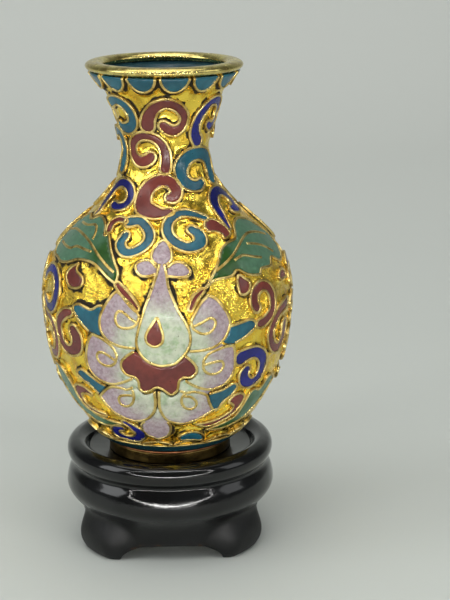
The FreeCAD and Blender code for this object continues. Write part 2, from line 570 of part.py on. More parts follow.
CURLS = [
    [(-12.3, 42.4), (-14.3, 41.0), (-18.3, 40.5), (-21.7, 40.7), (-23.3, 41.8),
     (-22.3, 42.9), (-20, 43.0), (-16.4, 42.1), (-13.2, 41.4)],
    [(-23.4, 35.9), (-24.7, 34.7), (-28, 34.1), (-31.9, 34.4), (-33.7, 35.3),
     (-32.8, 36.1), (-30, 36.2), (-26.4, 35.6), (-23.9, 35.0)],
    [(-17.5, 30.4), (-17.2, 29.2), (-18.4, 28.1), (-21.25, 27.4), (-24.4, 27.5),
     (-25.6, 28.3), (-24.4, 29.1), (-20.6, 29.4), (-17.5, 29.4)],
    [(9.8, 41.6), (10.7, 40.5), (14.3, 39.6), (17.7, 39.6), (20, 40.3),
     (20.7, 41.35), (18.3, 41.9), (14.6, 41.3), (10.8, 40.8)],
    [(15.6, 35.3), (15.6, 34), (17.5, 33.1), (20.6, 32.8), (23.75, 33.1),
     (25.3, 34), (24.1, 34.8), (20.4, 34.8), (15.8, 34.5)],
    [(8, 30.0), (6.2, 29.3), (5.9, 28.4), (7.5, 27.4), (10.6, 27),
     (13.1, 27.4), (13.2, 28.3), (10.4, 29.2), (7.2, 29.4)],
]
BUD = [
    [(OWN, [(-5, 49.8), (-7.9, 50.5), (-8, 51.4), (-5.5, 52.4), (-2, 52.9), (0.8, 52.4), (2.4, 51.4), (2, 50.4),
            (-0.3, 49.8)]), (SHARED, [(-0.3, 49.8), (-5, 49.8)])],
    [(OWN, [(-5.2, 49.4), (-8, 50.2), (-11, 50.4), (-15.3, 49.9), (-15, 49), (-12.3, 48.3), (-8.3, 48.3),
            (-5.6, 48.6)]), (SHARED, [(-5.6, 48.6), (-5.2, 49.4)])],
    [(OWN, [(0.1, 48.3), (5, 48.1), (9.3, 48.2), (11, 48.8), (9, 49.7), (6.7, 50.1), (3, 50.0), (0.1, 49.4)]),
     (SHARED, [(0.1, 49.4), (0.1, 48.3)])],
    [(SHARED, [(-6, 27.4), (-7.6, 26.2), (-10.4, 25.3), (-13.6, 24.75)]),
     (OWN, [(-13.6, 24.75), (-15.8, 24.0), (-16, 23.0), (-13.8, 21.9), (-10.2, 21.5), (-8, 21.1), (-5.2, 21.3),
            (-1.6, 21.8), (0.4, 22.9), (0.2, 23.9), (-1.2, 24.7)]),
     (SHARED, [(-1.2, 24.7), (-3.4, 25.7), (-4.9, 26.6), (-6, 27.4)])],
]
FINGERS = [
    [(OWN, [(-29.6, 43.5), (-31.7, 43.5), (-35.7, 42.75), (-42.3, 43.2), (-45.7, 42.9), (-46.2, 42.4),
            (-45.7, 42), (-42.3, 40.7), (-37, 39.3)]),
     (SHARED, [(-37, 39.3), (-34, 39.15), (-31, 39.0), (-31.2, 40.4), (-31.2, 41.7), (-29.6, 43.5)])],
    [(OWN, [(-31.5, 30.6), (-34.4, 30.9), (-40, 31.9), (-45, 32.6), (-48.7, 31.7), (-45, 30.7), (-41.3, 30.2),
            (-36.8, 28.9)]), (SHARED, [(-36.8, 28.9), (-33.1, 29.9), (-31.5, 30.6)])],
    [(OWN, [(28, 40.2), (33.75, 40.5), (38.75, 40.65), (41.6, 40), (41.25, 39.1), (36.25, 38.1), (30.6, 37.4)]),
     (SHARED, [(30.6, 37.4), (26.5, 37.5), (25.0, 37.9), (26.6, 38.9), (28, 40.2)])],
    [(OWN, [(19.6, 29.4), (22.5, 29.6), (26.25, 29.8), (32.5, 30.6), (34.7, 29.8), (32.5, 28.7), (28.1, 27.65),
            (25, 26.2), (23.3, 26.5)]), (SHARED, [(23.3, 26.5), (20.8, 27.9), (19.6, 29.4)])],
]
LEAVES = [
    [(OWN, [(-24.3, 48.9), (-30.3, 50.9), (-38.3, 53.1), (-41, 52.9), (-45, 54.0), (-51.7, 54.8), (-58.3, 55.0),
            (-63.7, 54.5), (-67.7, 54.4), (-75, 54.8), (-84, 53.4)]),
     (OWN, [(-84, 53.4), (-82, 50.6), (-76.3, 49), (-68.3, 48.7), (-63.7, 48.4), (-57, 48.7), (-50.3, 49.4),
            (-42.3, 49.5), (-35.7, 49), (-28.3, 47.65), (-24.3, 47)]),
     (OWN, [(-24.3, 47), (-23.6, 48), (-24.3, 48.9)])],
    [(OWN, [(17, 46.3), (21.7, 48.1), (26.3, 49.8), (30.3, 51.2), (36.3, 51.9), (43.7, 52.3), (50.3, 53.8),
            (59, 54.4), (68.3, 54), (73.7, 53.1), (80, 51.2)]),
     (OWN, [(80, 51.2), (77, 48.6), (70, 47.6), (62.3, 48.7), (58.3, 47.65), (50.3, 47.7), (47.7, 47), (40.3, 47.4),
            (35, 48.3), (31, 47.6), (21.7, 47.3), (17, 46.3)])],
]
VEINS = [
    [(-26, 48.5), (-38.3, 50.5), (-47.7, 51.7), (-58.3, 52.4), (-71.7, 52.65), (-81, 52.2)],
    [(-48.2, 52.2), (-50, 53.2), (-55, 53.9), (-63, 53.6), (-73, 53.6)],
    [(-43.5, 50.7), (-49, 50.8), (-57, 50.9), (-62.3, 50.4), (-76, 50.6)],
    [(23.7, 48.6), (33.7, 50), (45, 51.6), (55, 52.4), (65, 52.2), (74, 51.4)],
    [(35.3, 49.6), (41.7, 50.0), (48.3, 49.5), (53.7, 49.1)],
    [(49, 51.3), (55, 51), (61.7, 50.3), (67, 49.2)],
]
LOW_LEAVES = [
    [(OWN, [(-72, 31), (-66, 30.8), (-60, 29.2), (-55.6, 26.4), (-48, 24.5), (-38, 23.9), (-28, 23.7)]),
     (OWN, [(-28, 23.7), (-37, 22.9), (-46, 22.9), (-56, 24.3), (-64, 26.6), (-70, 28.8), (-72, 31)])],
    [(OWN, [(22, 22.5), (32, 23.2), (39.8, 24.2), (42.5, 26.0), (45.6, 28.1), (48.4, 28.4), (52.5, 28.0),
            (57.5, 29.4), (61.25, 29.8), (66, 28.8)]),
     (OWN, [(66, 28.8), (61, 27.2), (55, 25.1), (48.1, 23.3), (38.75, 22.4), (30, 22.2), (22, 22.5)])],
]
LOW_HOOKS = [
    [(OWN, [(31.3, 27.3), (33.1, 28.2), (37.5, 28.5), (40.9, 27.9), (41.2, 26.9), (39, 25.4), (34, 24.3),
            (27.5, 23.5), (21.25, 23.2), (15, 23.9)]),
     (OWN, [(15, 23.9), (21.25, 24.0), (27.5, 24.4), (32.5, 25.1), (35.0, 25.7), (35.4, 26.3), (33.5, 26.9),
            (31.3, 27.3)])],
]
INFILLS = [              # celadon enamel between the petals, the bulb and the heart
    [(SHARED, [(-30, 38.1), (-25, 37.9), (-20.6, 37.5), (-14.6, 37.4)]), (SHARED, [(-14.6, 37.4), (-15.3, 36.9)]),
     (SHARED, [(-15.3, 36.9), (-19.4, 35.9), (-22.3, 34.9)]),
     (SHARED, [(-22.3, 34.9), (-23.4, 35.9), (-25, 37.2), (-30, 38.1)])],
    [(SHARED, [(-27, 31.0), (-21.9, 31.6), (-16.9, 32.4), (-14.4, 32.0)]),
     (SHARED, [(-14.4, 32.0), (-14.2, 30.8), (-17.2, 30.9), (-20, 30.4), (-23.75, 30.6), (-27, 31.0)])],
    [(SHARED, [(9.2, 36.9), (7.9, 36.2), (11.6, 34.9), (13.4, 34.2)]), (SHARED, [(13.4, 34.2), (15.6, 35.3)]),
     (SHARED, [(15.6, 35.3), (18.1, 36.3), (22.5, 36.8), (25, 37.4)]),
     (SHARED, [(25, 37.4), (22.5, 37.6), (18.8, 37.1), (13.75, 36.9), (9.2, 36.9)])],
    [(SHARED, [(4.5, 32.0), (4.3, 30.9), (5, 30.4), (8, 30.0), (11.25, 30.1), (15, 29.8), (18.4, 29.4)]),
     (SHARED, [(18.4, 29.4), (20, 30.2), (15, 30.6), (10.6, 31.35), (7.5, 32.1), (4.5, 32.0)])],
]
COMMAS = [
    [(OWN, [(26.3, 54.2), (28.3, 54.8), (33.7, 55.1), (39, 54.7), (42.6, 53.7), (42.3, 52.85), (36.3, 52.5),
            (35.7, 53.1), (32.3, 53.5), (27.7, 53.6), (26.3, 54.2)])],
    [(OWN, [(-48.3, 49.0), (-53, 47.9), (-54, 46.8), (-51, 45.6), (-46.3, 45.4), (-42.7, 45.9), (-42, 46.9),
            (-45, 47.5), (-48, 48.0), (-48.3, 49.0)])],
    [(OWN, [(33.3, 46.8), (33.7, 45), (35.7, 44.6), (39, 45), (40.3, 46.2), (38.3, 46.8), (35, 47.6),
            (33.3, 46.8)])],
]


# ------------------------------------------------------------------ groups of decoration
def around(solids, turns):
    """The same solids repeated round the axis."""
    made = []
    for angle in turns:
        for solid in solids:
            turned_copy = solid.copy(False)
            turned_copy.Placement = FreeCAD.Placement(V(0, 0, 0), FreeCAD.Rotation(Z_AXIS, angle))
            made.append(turned_copy)
    return made


def strips(rows):
    """The wires along rows of points. A row may itself be a list of rows."""
    flat = [part for row in rows for part in (row if isinstance(row[0], list) else [row])]
    return [wire for row in flat for wire in strip(row)]


def both_faces(solids):
    return around([s for s in solids if s is not None], (0, 180))


NODES = {}


def add(node, solids):
    NODES.setdefault(node, []).extend(s for s in solids if s is not None)


def add_bands(groups, wire_node):
    for node, bands in groups.items():
        for points in bands:
            outline = band(points)
            add(node, both_faces([enamel(outline)]))
            add(wire_node, both_faces(strips(unbent(outline + outline[:1]))))


def add_cells(cells, node, wire_node):
    for sides in cells:
        outline, wires = cell(sides)
        add(node, both_faces([enamel(outline)]))
        add(wire_node, both_faces(strips(wires)))


def add_lotus_core():
    outline, wires = cell([(OWN, HEART_LOW), (SHARED, [(7.5, 36.2), (4.4, 35.1), (2.5, 34.6), (-2.5, 34.3),
                                                        (-5, 34.4), (-9.4, 35.0), (-12.7, 36.2), (-15.3, 36.9)])])
    add("heart_enamel", both_faces([enamel(outline, 0.25)]))
    add("heart_wires", both_faces(strips(wires)))
    drop, drop_wires = cell([(OWN, TEARDROP)])
    outline, wires = cell([(OWN, BULB), (SHARED, [BULB[-1], BULB[0]])])
    hole = enamel(leftwards(drop), -(WIRE / 2 + 0.03), RELIEF + 0.3)
    bulb = enamel(outline)
    bulb = bulb.cut(hole).Solids[0]
    add("bulb_enamel", both_faces([bulb]))
    add("bulb_wires", both_faces(strips(wires)))
    add("teardrop_enamel", both_faces([enamel(drop)]))
    add("teardrop_wires", both_faces(strips(drop_wires)))


def add_lappets():
    half, low, high = 10.6, 74.25, 76.35
    arch = [(half * math.sin(math.radians(t)), high - (high - low) * math.cos(math.radians(t)))
            for t in range(-90, 91, 15)]
    outline, wires = cell([(OWN, arch), (SHARED, [arch[-1], arch[0]])])
    turns = [7.8 + 360.0 / LAPPETS * n for n in range(LAPPETS)]
    add("lappet_enamel", around([enamel(outline)], turns))
    add("lappet_wires", around(strips(wires), turns))


def add_border():
    pitch = 360.0 / ARCHES
    arch = [(t, 19.45 + 0.8 * math.sin(math.radians(180 * (t + 0.47 * pitch) / (0.94 * pitch))))
            for t in (-0.47 * pitch, -0.35 * pitch, -0.2 * pitch, 0, 0.2 * pitch, 0.35 * pitch, 0.47 * pitch)]
    arch = [(a, z + 0.2) for a, z in arch]
    add("border_enamel", [foot_band()])
    add("border_wires", around(strip(smooth(arch)), [pitch * n - 9 for n in range(ARCHES)]))


def add_plain_pieces():
    add("copper_body", [wall(RELIEF, RELIEF + COPPER, 17.46, SHELL_TOP)])
    add("mouth_rim", [lip()])
    add("foot_ring", [foot_ring()])
    add("foot_seam", [foot_seam()])
    add("base_disc", [base_disc()])
    add("base_enamel", [base_enamel()])
    add("inner_enamel", [lining()])
    add("stand", [stand()])


def main():
    add_plain_pieces()
    add_lappets()
    add_border()
    add_bands(NECK_BANDS, "neck_wires")
    add_bands(SHOULDER_BANDS, "shoulder_wires")
    add_bands(SIDE_BANDS, "side_wires")
    add_bands(LOW_BANDS, "low_wires")
    add_cells(PETALS + INFILLS, "petal_enamel", "petal_wires")
    add("petal_curls", both_faces(strips(unbent(shortened(smooth(row), 0.1)) for row in CURLS)))
    add_lotus_core()
    add_cells(BUD, "bud_enamel", "bud_wires")
    add_cells(FINGERS, "finger_enamel", "finger_wires")
    add_cells(LEAVES, "leaf_enamel", "leaf_wires")
    add("leaf_veins", both_faces(strips(unbent(smooth(row)) for row in VEINS)))
    add_cells(LOW_LEAVES, "low_leaf_enamel", "low_leaf_wires")
    add_cells(LOW_HOOKS, "low_maroon", "low_wires")
    add_cells(COMMAS, "comma_enamel", "comma_wires")
    for node, solids in NODES.items():
        Part.makeCompound(solids).exportStep(f"parts/{node}.step")
        wrong = [[i] + [round(x, 1) for x in s.CenterOfMass] for i, s in enumerate(solids)
                 if not s.isValid() or s.Volume <= 0]
        print(node, len(solids), "solids", "volume %.2f" % sum(s.Volume for s in solids),
              f"not valid: {wrong}" if wrong else "")


main()
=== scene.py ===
import math

import bpy
import numpy as np
from mathutils import Matrix, Vector, geometry, kdtree, noise


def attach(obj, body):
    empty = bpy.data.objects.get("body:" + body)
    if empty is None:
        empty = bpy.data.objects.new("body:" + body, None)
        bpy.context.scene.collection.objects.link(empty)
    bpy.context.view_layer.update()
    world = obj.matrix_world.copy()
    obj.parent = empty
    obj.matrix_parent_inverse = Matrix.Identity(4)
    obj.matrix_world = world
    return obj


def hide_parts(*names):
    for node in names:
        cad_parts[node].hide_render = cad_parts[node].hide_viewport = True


# A cloisonne vase on its black lacquered stand. Sizes are in millimetres until a mesh is made,
# angles on the vase's side are in degrees from the front (-Y), growing towards +X, and heights
# are above the floor.

MM = 0.001
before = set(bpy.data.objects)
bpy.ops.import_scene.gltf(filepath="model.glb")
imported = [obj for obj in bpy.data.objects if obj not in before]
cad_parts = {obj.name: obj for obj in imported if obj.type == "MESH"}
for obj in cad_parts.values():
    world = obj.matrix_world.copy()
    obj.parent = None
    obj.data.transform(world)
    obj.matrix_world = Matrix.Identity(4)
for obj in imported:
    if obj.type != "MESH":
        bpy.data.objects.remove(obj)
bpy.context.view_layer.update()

# ------------------------------------------------------------------ driving dimensions
SIDE = [(17.46, 10.3), (19.6, 12.7), (22.0, 14.6), (25.36, 16.65), (29.3, 18.18), (33.25, 19.22),
        (37.2, 19.75), (41.15, 20.0), (45.1, 19.52), (49.04, 17.92), (52.99, 14.31),
        (56.94, 10.14), (60.89, 7.86), (64.84, 7.4), (68.78, 8.06), (72.73, 9.5), (76.68, 12.0)]
RELIEF = 0.44            # depth of the enamel layer
COPPER = 0.9             # thickness of the copper wall
LINING = 0.33            # thickness of the enamel inside
WIRE = 0.40              # width of the bent wire
BROAD_WIRE = 1.1 * WIRE  # width of the petals' wires and curls, and of the leaves' veins
WIRE_SINK = 0.045        # a wire's shoulders lie this deep under the polished side
WIRE_STEP = 0.16         # distance between a wire's points
ENAMEL_DEPTH = 0.06      # the enamel lies this deep under the polished side
ENAMEL_SHEET = 0.34      # thickness of an enamel sheet
BAND_WIDER = 1.13        # a scroll's enamel is this many times as wide as in the design
BAND_EDGE = 0.11         # and reaches this much further on each side, under the wires
SHELL_TOP = 75.9         # top of the copper wall, inside the lip
LIP_R, LIP_Z, LIP_A, LIP_B = 10.8, 77.3, 1.4, 0.75           # the lip's middle, half width and half height
FOOT_OUT, FOOT_IN, SEAT_Z, FOOT_TOP = 9.83, 8.55, 15.46, 17.25   # the brass foot ring
RECESS_R, RECESS_Z = 13.2, 15.45                             # the stand's recess
UNDER_R, UNDER_Z = 11.2, 5.0                                 # the hollow under the stand
LAPPETS, ARCHES = 14, 16                                     # half discs under the lip, arches at the bottom
FACES = (0.0, 180.0)     # the design stands on both faces of the vase


# ------------------------------------------------------------------ the curved side
def natural_spline(knots, values, at):
    """A natural cubic spline through the knots, read at many places."""
    x, y = np.array(knots, float), np.array(values, float)
    gaps, count = np.diff(x), len(x)
    matrix, right = np.eye(count), np.zeros(count)
    for i in range(1, count - 1):
        matrix[i, i - 1:i + 2] = gaps[i - 1], 2 * (gaps[i - 1] + gaps[i]), gaps[i]
        right[i] = 6 * ((y[i + 1] - y[i]) / gaps[i] - (y[i] - y[i - 1]) / gaps[i - 1])
    bend = np.linalg.solve(matrix, right)
    i = np.clip(np.searchsorted(x, at) - 1, 0, count - 2)
    h, lo, hi = gaps[i], x[i + 1] - at, at - x[i]
    return ((bend[i] * lo**3 + bend[i + 1] * hi**3) / (6 * h)
            + (y[i] / h - bend[i] * h / 6) * lo + (y[i + 1] / h - bend[i + 1] * h / 6) * hi)


TABLE_Z = np.arange(SIDE[0][0] - 0.5, SIDE[-1][0] + 0.5, 0.02)
TABLE_R = natural_spline([z for z, _ in SIDE], [r for _, r in SIDE], TABLE_Z)
TABLE_SLOPE = np.gradient(TABLE_R, TABLE_Z)


def radius(z):
    """The polished side's radius at a height."""
    return np.interp(z, TABLE_Z, TABLE_R)


def slope(z):
    """How fast the radius grows with height."""
    return np.interp(z, TABLE_Z, TABLE_SLOPE)


def section(z, depth):
    """(radius, height) of the point that lies this deep under the polished side."""
    lean = slope(z)
    length = np.hypot(1.0, lean)
    return radius(z) - depth / length, z + depth * lean / length


def on_side(points, depth=0.0):
    """Rows of (angle in radians, height) as points in space, in millimetres."""
    points = np.asarray(points, float)
    r, z = section(points[:, 1], depth)
    return np.stack([r * np.sin(points[:, 0]), -r * np.cos(points[:, 0]), z], 1)


def normals(points):
    """The directions that point straight out of the side."""
    points = np.asarray(points, float)
    lean = slope(points[:, 1])
    length = np.hypot(1.0, lean)
    return np.stack([np.sin(points[:, 0]) / length, -np.cos(points[:, 0]) / length, -lean / length], 1)


# ------------------------------------------------------------------ curves on the side
def scales(z):
    """Millimetres for a radian round the side and for a millimetre of height."""
    return float(radius(z)), float(np.hypot(1.0, slope(z)))


def smooth(points, step=0.1):
    """Points every step mm along a soft curve through the given (angle, height) points."""
    middle = sum(p[1] for p in points) / len(points)
    kx, ky = scales(middle)
    flat = [(math.radians(p[0]) * kx, p[1] * ky) + tuple(p[2:]) for p in points]
    knots = [0.0]
    for a, b in zip(flat, flat[1:]):
        knots.append(knots[-1] + math.sqrt(math.dist(a[:2], b[:2])))
    slopes = []
    for i in range(len(flat)):
        lo, hi = max(i - 1, 0), min(i + 1, len(flat) - 1)
        slopes.append([(h - g) / (knots[hi] - knots[lo]) for g, h in zip(flat[lo], flat[hi])])
    made = []
    for i in range(len(flat) - 1):
        span = knots[i + 1] - knots[i]
        count = max(2, int(math.dist(flat[i][:2], flat[i + 1][:2]) / step))
        for n in range(count):
            t = n / count
            h = (2 * t**3 - 3 * t**2 + 1, t**3 - 2 * t**2 + t, 3 * t**2 - 2 * t**3, t**3 - t**2)
            made.append([h[0] * p + h[1] * span * m + h[2] * q + h[3] * span * k
                         for p, m, q, k in zip(flat[i], slopes[i], flat[i + 1], slopes[i + 1])])
    made.append(list(flat[-1]))
    return [(m[0] / kx, m[1] / ky) + tuple(m[2:]) for m in made]


def shifted(points, amounts):
    """Each point of an open row moved to the left of the way the curve runs."""
    row = np.array([p[:2] for p in points])
    kx = radius(row[:, 1])
    ky = np.hypot(1.0, slope(row[:, 1]))
    ahead = np.gradient(row, axis=0) * np.stack([kx, ky], 1)
    ahead /= np.maximum(np.linalg.norm(ahead, axis=1, keepdims=True), 1e-9)
    return np.stack([row[:, 0] - amounts * ahead[:, 1] / kx, row[:, 1] + amounts * ahead[:, 0] / ky], 1)


def band(points):
    """The closed outline of a band, from its centreline points (angle, height, width)."""
    centre = np.array(smooth(points))
    half = 0.5 * BAND_WIDER * centre[:, 2] + BAND_EDGE
    left, right = shifted(centre, half), shifted(centre, -half)
    tip, tail = round_end(centre[-1], centre[-2], half[-1]), round_end(centre[0], centre[1], half[0])
    outline = np.concatenate([left, tip[::-1], right[::-1], tail[::-1]])
    kx, ky = radius(outline[:, 1])[:, None], np.hypot(1.0, slope(outline[:, 1]))[:, None]
    away = np.hypot((outline[:, :1] - centre[:, 0]) * kx, (outline[:, 1:] - centre[:, 1]) * ky)
    return outline[(away >= 0.95 * half[None, :]).all(axis=1)]


def round_end(end, inner, size):
    """Half a circle round the end of a band, from its right side to its left."""
    kx, ky = scales(end[1])
    facing = math.atan2((end[1] - inner[1]) * ky, (end[0] - inner[0]) * kx)
    turns = facing - math.pi / 2 + math.pi * np.arange(1, 12) / 12
    return np.stack([end[0] + size * np.cos(turns) / kx, end[1] + size * np.sin(turns) / ky], 1)


def cell(sides):
    """The closed outline of a cell, and the rows that get a wire of their own."""
    rows = [(own, np.array(smooth(points))) for own, points in sides]
    return np.concatenate([row[:-1] for _, row in rows]), [row for own, row in rows if own]


# ------------------------------------------------------------------ the design
OWN, SHARED = True, False

NECK_BANDS = {
    "neck_maroon": [
        [(-19.4, 69.0, 1.95), (-17.3, 70.2, 1.75), (-10, 71.7, 1.45), (1, 72.45, 1.3), (11.5, 71.9, 1.2),
         (19, 70.7, 1.1), (20.5, 69.8, 1.0), (17.5, 68.7, 1.1), (10, 68.15, 1.35),
         (3, 68.4, 1.35), (-2, 69.0, 1.2)],
        [(-0.6, 62.4, 1.4), (0.4, 63.3, 1.3), (0, 64.5, 1.25), (-3.5, 65.8, 1.1), (-11, 66.9, 1.0),
         (-22, 67.3, 1.0), (-33, 67.0, 1.05), (-41, 66, 1.1), (-42, 64.8, 1.1), (-37.5, 63.7, 1.3),
         (-29, 63.3, 1.4), (-21, 63.7, 1.4), (-18, 64.1, 1.3)],
        [(3, 56.4, 1.0), (-10, 56.2, 1.6), (-20, 57, 2.2), (-22, 58.6, 2.0), (-16, 60.0, 1.7),
         (-4, 60.7, 1.5), (6, 60.3, 1.5), (10.5, 59.2, 1.5), (7.5, 58.3, 1.4), (3.5, 58.2, 1.2)]],
    "neck_teal": [
        [(-66, 72, 1.3), (-54, 72.6, 1.3), (-43, 72, 1.4), (-37, 70.5, 1.3), (-38, 69, 1.4),
         (-46, 68.3, 1.5), (-55, 68.3, 1.2), (-60, 68.8, 1.0)],
        [(62.5, 60.3, 1.7), (64, 61.8, 1.8), (58, 63.6, 1.8), (44, 64.3, 1.6), (29, 64.0, 1.7),
         (19, 62.6, 1.8), (19, 61, 1.6), (26, 59.9, 1.5), (36, 59.6, 1.3), (41, 59.9, 1.2)],
        [(-64, 62, 1.5), (-59, 64.5, 1.2), (-63, 66.8, 1.2), (-75, 67.5, 1.2), (-86, 66.6, 1.1)]],
    "neck_cobalt": [
        [(41, 66.3, 1.6), (36.4, 67.4, 1.5), (36.5, 69, 1.3), (43, 71, 1.2), (53, 72.3, 1.2),
         (64, 72.1, 1.2), (71, 70.8, 1.1), (70, 69, 1.1), (62, 68.2, 1.1), (56, 68.6, 1.0)]],
}
SHOULDER_BANDS = {
    "shoulder_cobalt": [
        [(-66, 55.2, 0.7), (-68, 57.5, 1.2), (-64, 59.2, 1.2), (-53, 59.9, 1.1), (-42, 59.4, 1.1),
         (-36.5, 58.2, 1.1), (-39, 57, 1.1), (-47, 56.6, 1.1), (-52.5, 56.8, 1.0)],
        [(44.5, 53.6, 0.5), (46, 55.5, 1.2), (48, 57.2, 1.5), (56, 58.2, 1.4), (67, 58.2, 1.4),
         (75, 57, 1.5), (72, 55.6, 1.4), (65, 55.6, 1.2)]],
    "shoulder_teal": [
        [(-27, 55.0, 1.6), (-19, 55.1, 1.2), (-12, 54, 1.2), (-11, 52.8, 1.2), (-16, 51.6, 1.2),
         (-22.5, 51.2, 1.2), (-27.5, 52.2, 1.2), (-26.5, 53.3, 1.1)],
        [(30, 55.3, 0.8), (20, 56.0, 1.0), (10, 56.1, 1.0), (2, 55.2, 1.1), (0.5, 53.9, 1.2),
         (5, 52.6, 1.3), (12, 51.9, 1.4), (19, 52.3, 1.6), (20.5, 53.3, 1.6), (17, 54.0, 1.3)]],
    "shoulder_maroon": [
        [(-30.2, 54.9, 0.35), (-33, 55.1, 0.6), (-38, 55.1, 0.8), (-41.5, 54.5, 0.9), (-40.2, 53.6, 0.7)]],
}
SIDE_BANDS = {
    "side_maroon": [
        [(-48.2, 41.6, 0.9), (-52, 41.2, 1.2), (-57, 39.6, 1.3), (-57.8, 37.6, 1.3), (-55.5, 35.9, 1.3),
         (-50.5, 35.3, 1.3), (-45.8, 36.2, 1.9), (-45, 37.7, 1.9), (-46.6, 38.7, 1.7)],
        [(44.3, 39.6, 1.1), (48, 39.8, 1.3), (53, 41, 1.3), (54, 43, 1.2), (51.5, 44.8, 1.2),
         (47, 45.3, 1.2), (42.5, 44.5, 1.3), (41.5, 43, 1.3), (42.7, 42.2, 1.2)],
        [(68, 41.2, 1.3), (60, 40.3, 1.3), (54.5, 38.6, 1.3), (53.5, 36.7, 1.3), (57, 34.8, 1.3),
         (62, 34.4, 1.3), (66.5, 36, 1.6), (66.8, 37.8, 1.5)],
        [(76.6, 40.3, 0.8), (81, 41.0, 1.2), (86.6, 40.3, 1.3), (88.6, 38.5, 1.3), (85, 37.2, 1.2),
         (80, 37.6, 1.0)],
        [(79, 28.7, 0.6), (83.6, 27.9, 1.1), (90, 27.5, 1.3), (96, 28.1, 1.0), (100, 28.9, 0.6)],
        [(64.8, 45.5, 0.8), (67.6, 45.7, 1.2), (70.4, 45.5, 0.8)],
        [(-23.2, 46.9, 0.6), (-19, 45.6, 0.85), (-16, 44.5, 0.85), (-13.7, 43.6, 0.6)],
        [(15.8, 46.1, 0.4), (12.2, 45.1, 0.6), (9.7, 43.5, 0.5)],
        [(-72, 40, 1.0), (-66, 39.2, 1.2), (-62.5, 37.5, 1.2), (-62.5, 35.2, 1.2), (-66, 33.6, 1.2),
         (-72, 33.4, 1.1)]],
    "side_cobalt": [
        [(34.6, 34.7, 2.0), (39, 35.1, 1.6), (44, 35.0, 1.5), (48.5, 33.8, 1.6), (49.8, 32.2, 1.6),
         (48, 30.6, 1.4), (43.5, 29.9, 1.3), (39, 30.5, 1.6), (37.5, 31.7, 1.5), (38.5, 32.4, 1.4)],
        [(78.6, 43.8, 0.8), (81, 46.0, 1.3), (87, 46.9, 1.3), (93, 46.0, 1.3), (95, 44.0, 1.3),
         (91, 42.6, 1.3), (86, 43.2, 1.1)],
        [(98.4, 35.0, 0.7), (101.6, 33.7, 1.2), (101.4, 31.8, 1.2), (97.8, 30.8, 0.9)],
        [(-77, 45.5, 1.3), (-72, 46.8, 1.2), (-66, 46.7, 1.3), (-61, 45.4, 1.4), (-60.3, 43.5, 1.5),
         (-63, 41.6, 1.4), (-68, 41.0, 1.3), (-72.5, 41.9, 1.2)]],
    "side_teal": [
        [(94, 39.8, 0.8), (97.6, 40.8, 1.2), (101.6, 39.9, 1.3), (102.4, 38.0, 1.2), (98.8, 37.1, 1.0)],
        [(77, 33.0, 0.8), (80.6, 34.7, 1.3), (86.4, 35.1, 1.4), (91.4, 34.0, 1.5), (93, 31.9, 1.4),
         (89.4, 30.5, 1.3), (84.8, 31.1, 1.1)]],
}
LOW_BANDS = {
    "low_maroon": [
        [(-42.4, 28.5, 0.4), (-47, 28.9, 1.0), (-52, 28.5, 1.4), (-52.5, 27.3, 1.1), (-50, 26.0, 0.8),
         (-44, 25.2, 0.6), (-37, 24.9, 0.35)]],
    "low_cobalt": [
        [(-26, 24.2, 0.6), (-21.5, 23.2, 1.0), (-18.2, 22.0, 1.4), (-21.5, 20.9, 1.2), (-29, 20.6, 1.2),
         (-35.2, 21.3, 1.4), (-34.4, 22.4, 1.0), (-29.5, 22.7, 0.8)]],
    "low_teal": [
        [(9.0, 21.3, 1.2), (12.5, 21.5, 1.7), (16.5, 21.3, 1.5), (20.5, 20.7, 0.8)]],
}

HEART_LOW = [(-15.3, 36.9), (-19.4, 35.9), (-21.6, 34.9), (-21.3, 33.7), (-18.8, 32.9), (-15.6, 32.7),
             (-14.1, 31.9), (-13.9, 30.8), (-11.9, 30.2), (-8.8, 30.5), (-5.6, 31.1), (-2.5, 30.6),
             (0.6, 29.8), (3.1, 30.2), (4.1, 30.9), (4.6, 32.1), (6.5, 32.65), (10, 32.65), (12.5, 33.5),
             (11.6, 34.7), (7.5, 36.2)]
HEART_TOP = [(7.5, 36.2), (4.4, 35.3), (2.5, 34.9), (-2.5, 34.6), (-5, 34.7), (-9.4, 35.3), (-12.7, 36.4),
             (-15.3, 36.9)]
BULB = [(-3.9, 49.9), (-5, 48.5), (-7.3, 46.3), (-10.3, 43.5), (-11.7, 41.8), (-13, 40.3), (-14, 38.5),
        (-13.75, 37.65), (-12.5, 36.6), (-9.4, 35.4), (-5, 34.8), (-2.5, 34.7), (2.5, 35.0), (4.4, 35.5),
        (7.5, 36.7), (9.1, 37.9), (9.5, 39), (8.75, 40.3), (7.2, 41.6), (5, 42.9), (2.3, 45), (0.3, 46.8),
        (-0.5, 48.5), (-1.4, 49.9)]
TEARDROP = [(-4.7, 42.4), (-7.4, 41), (-9.6, 39.6), (-9.2, 38.4), (-6, 37.8), (-2.9, 38.4), (-2.4, 39.6),
            (-3.5, 41), (-4.7, 42.4)]

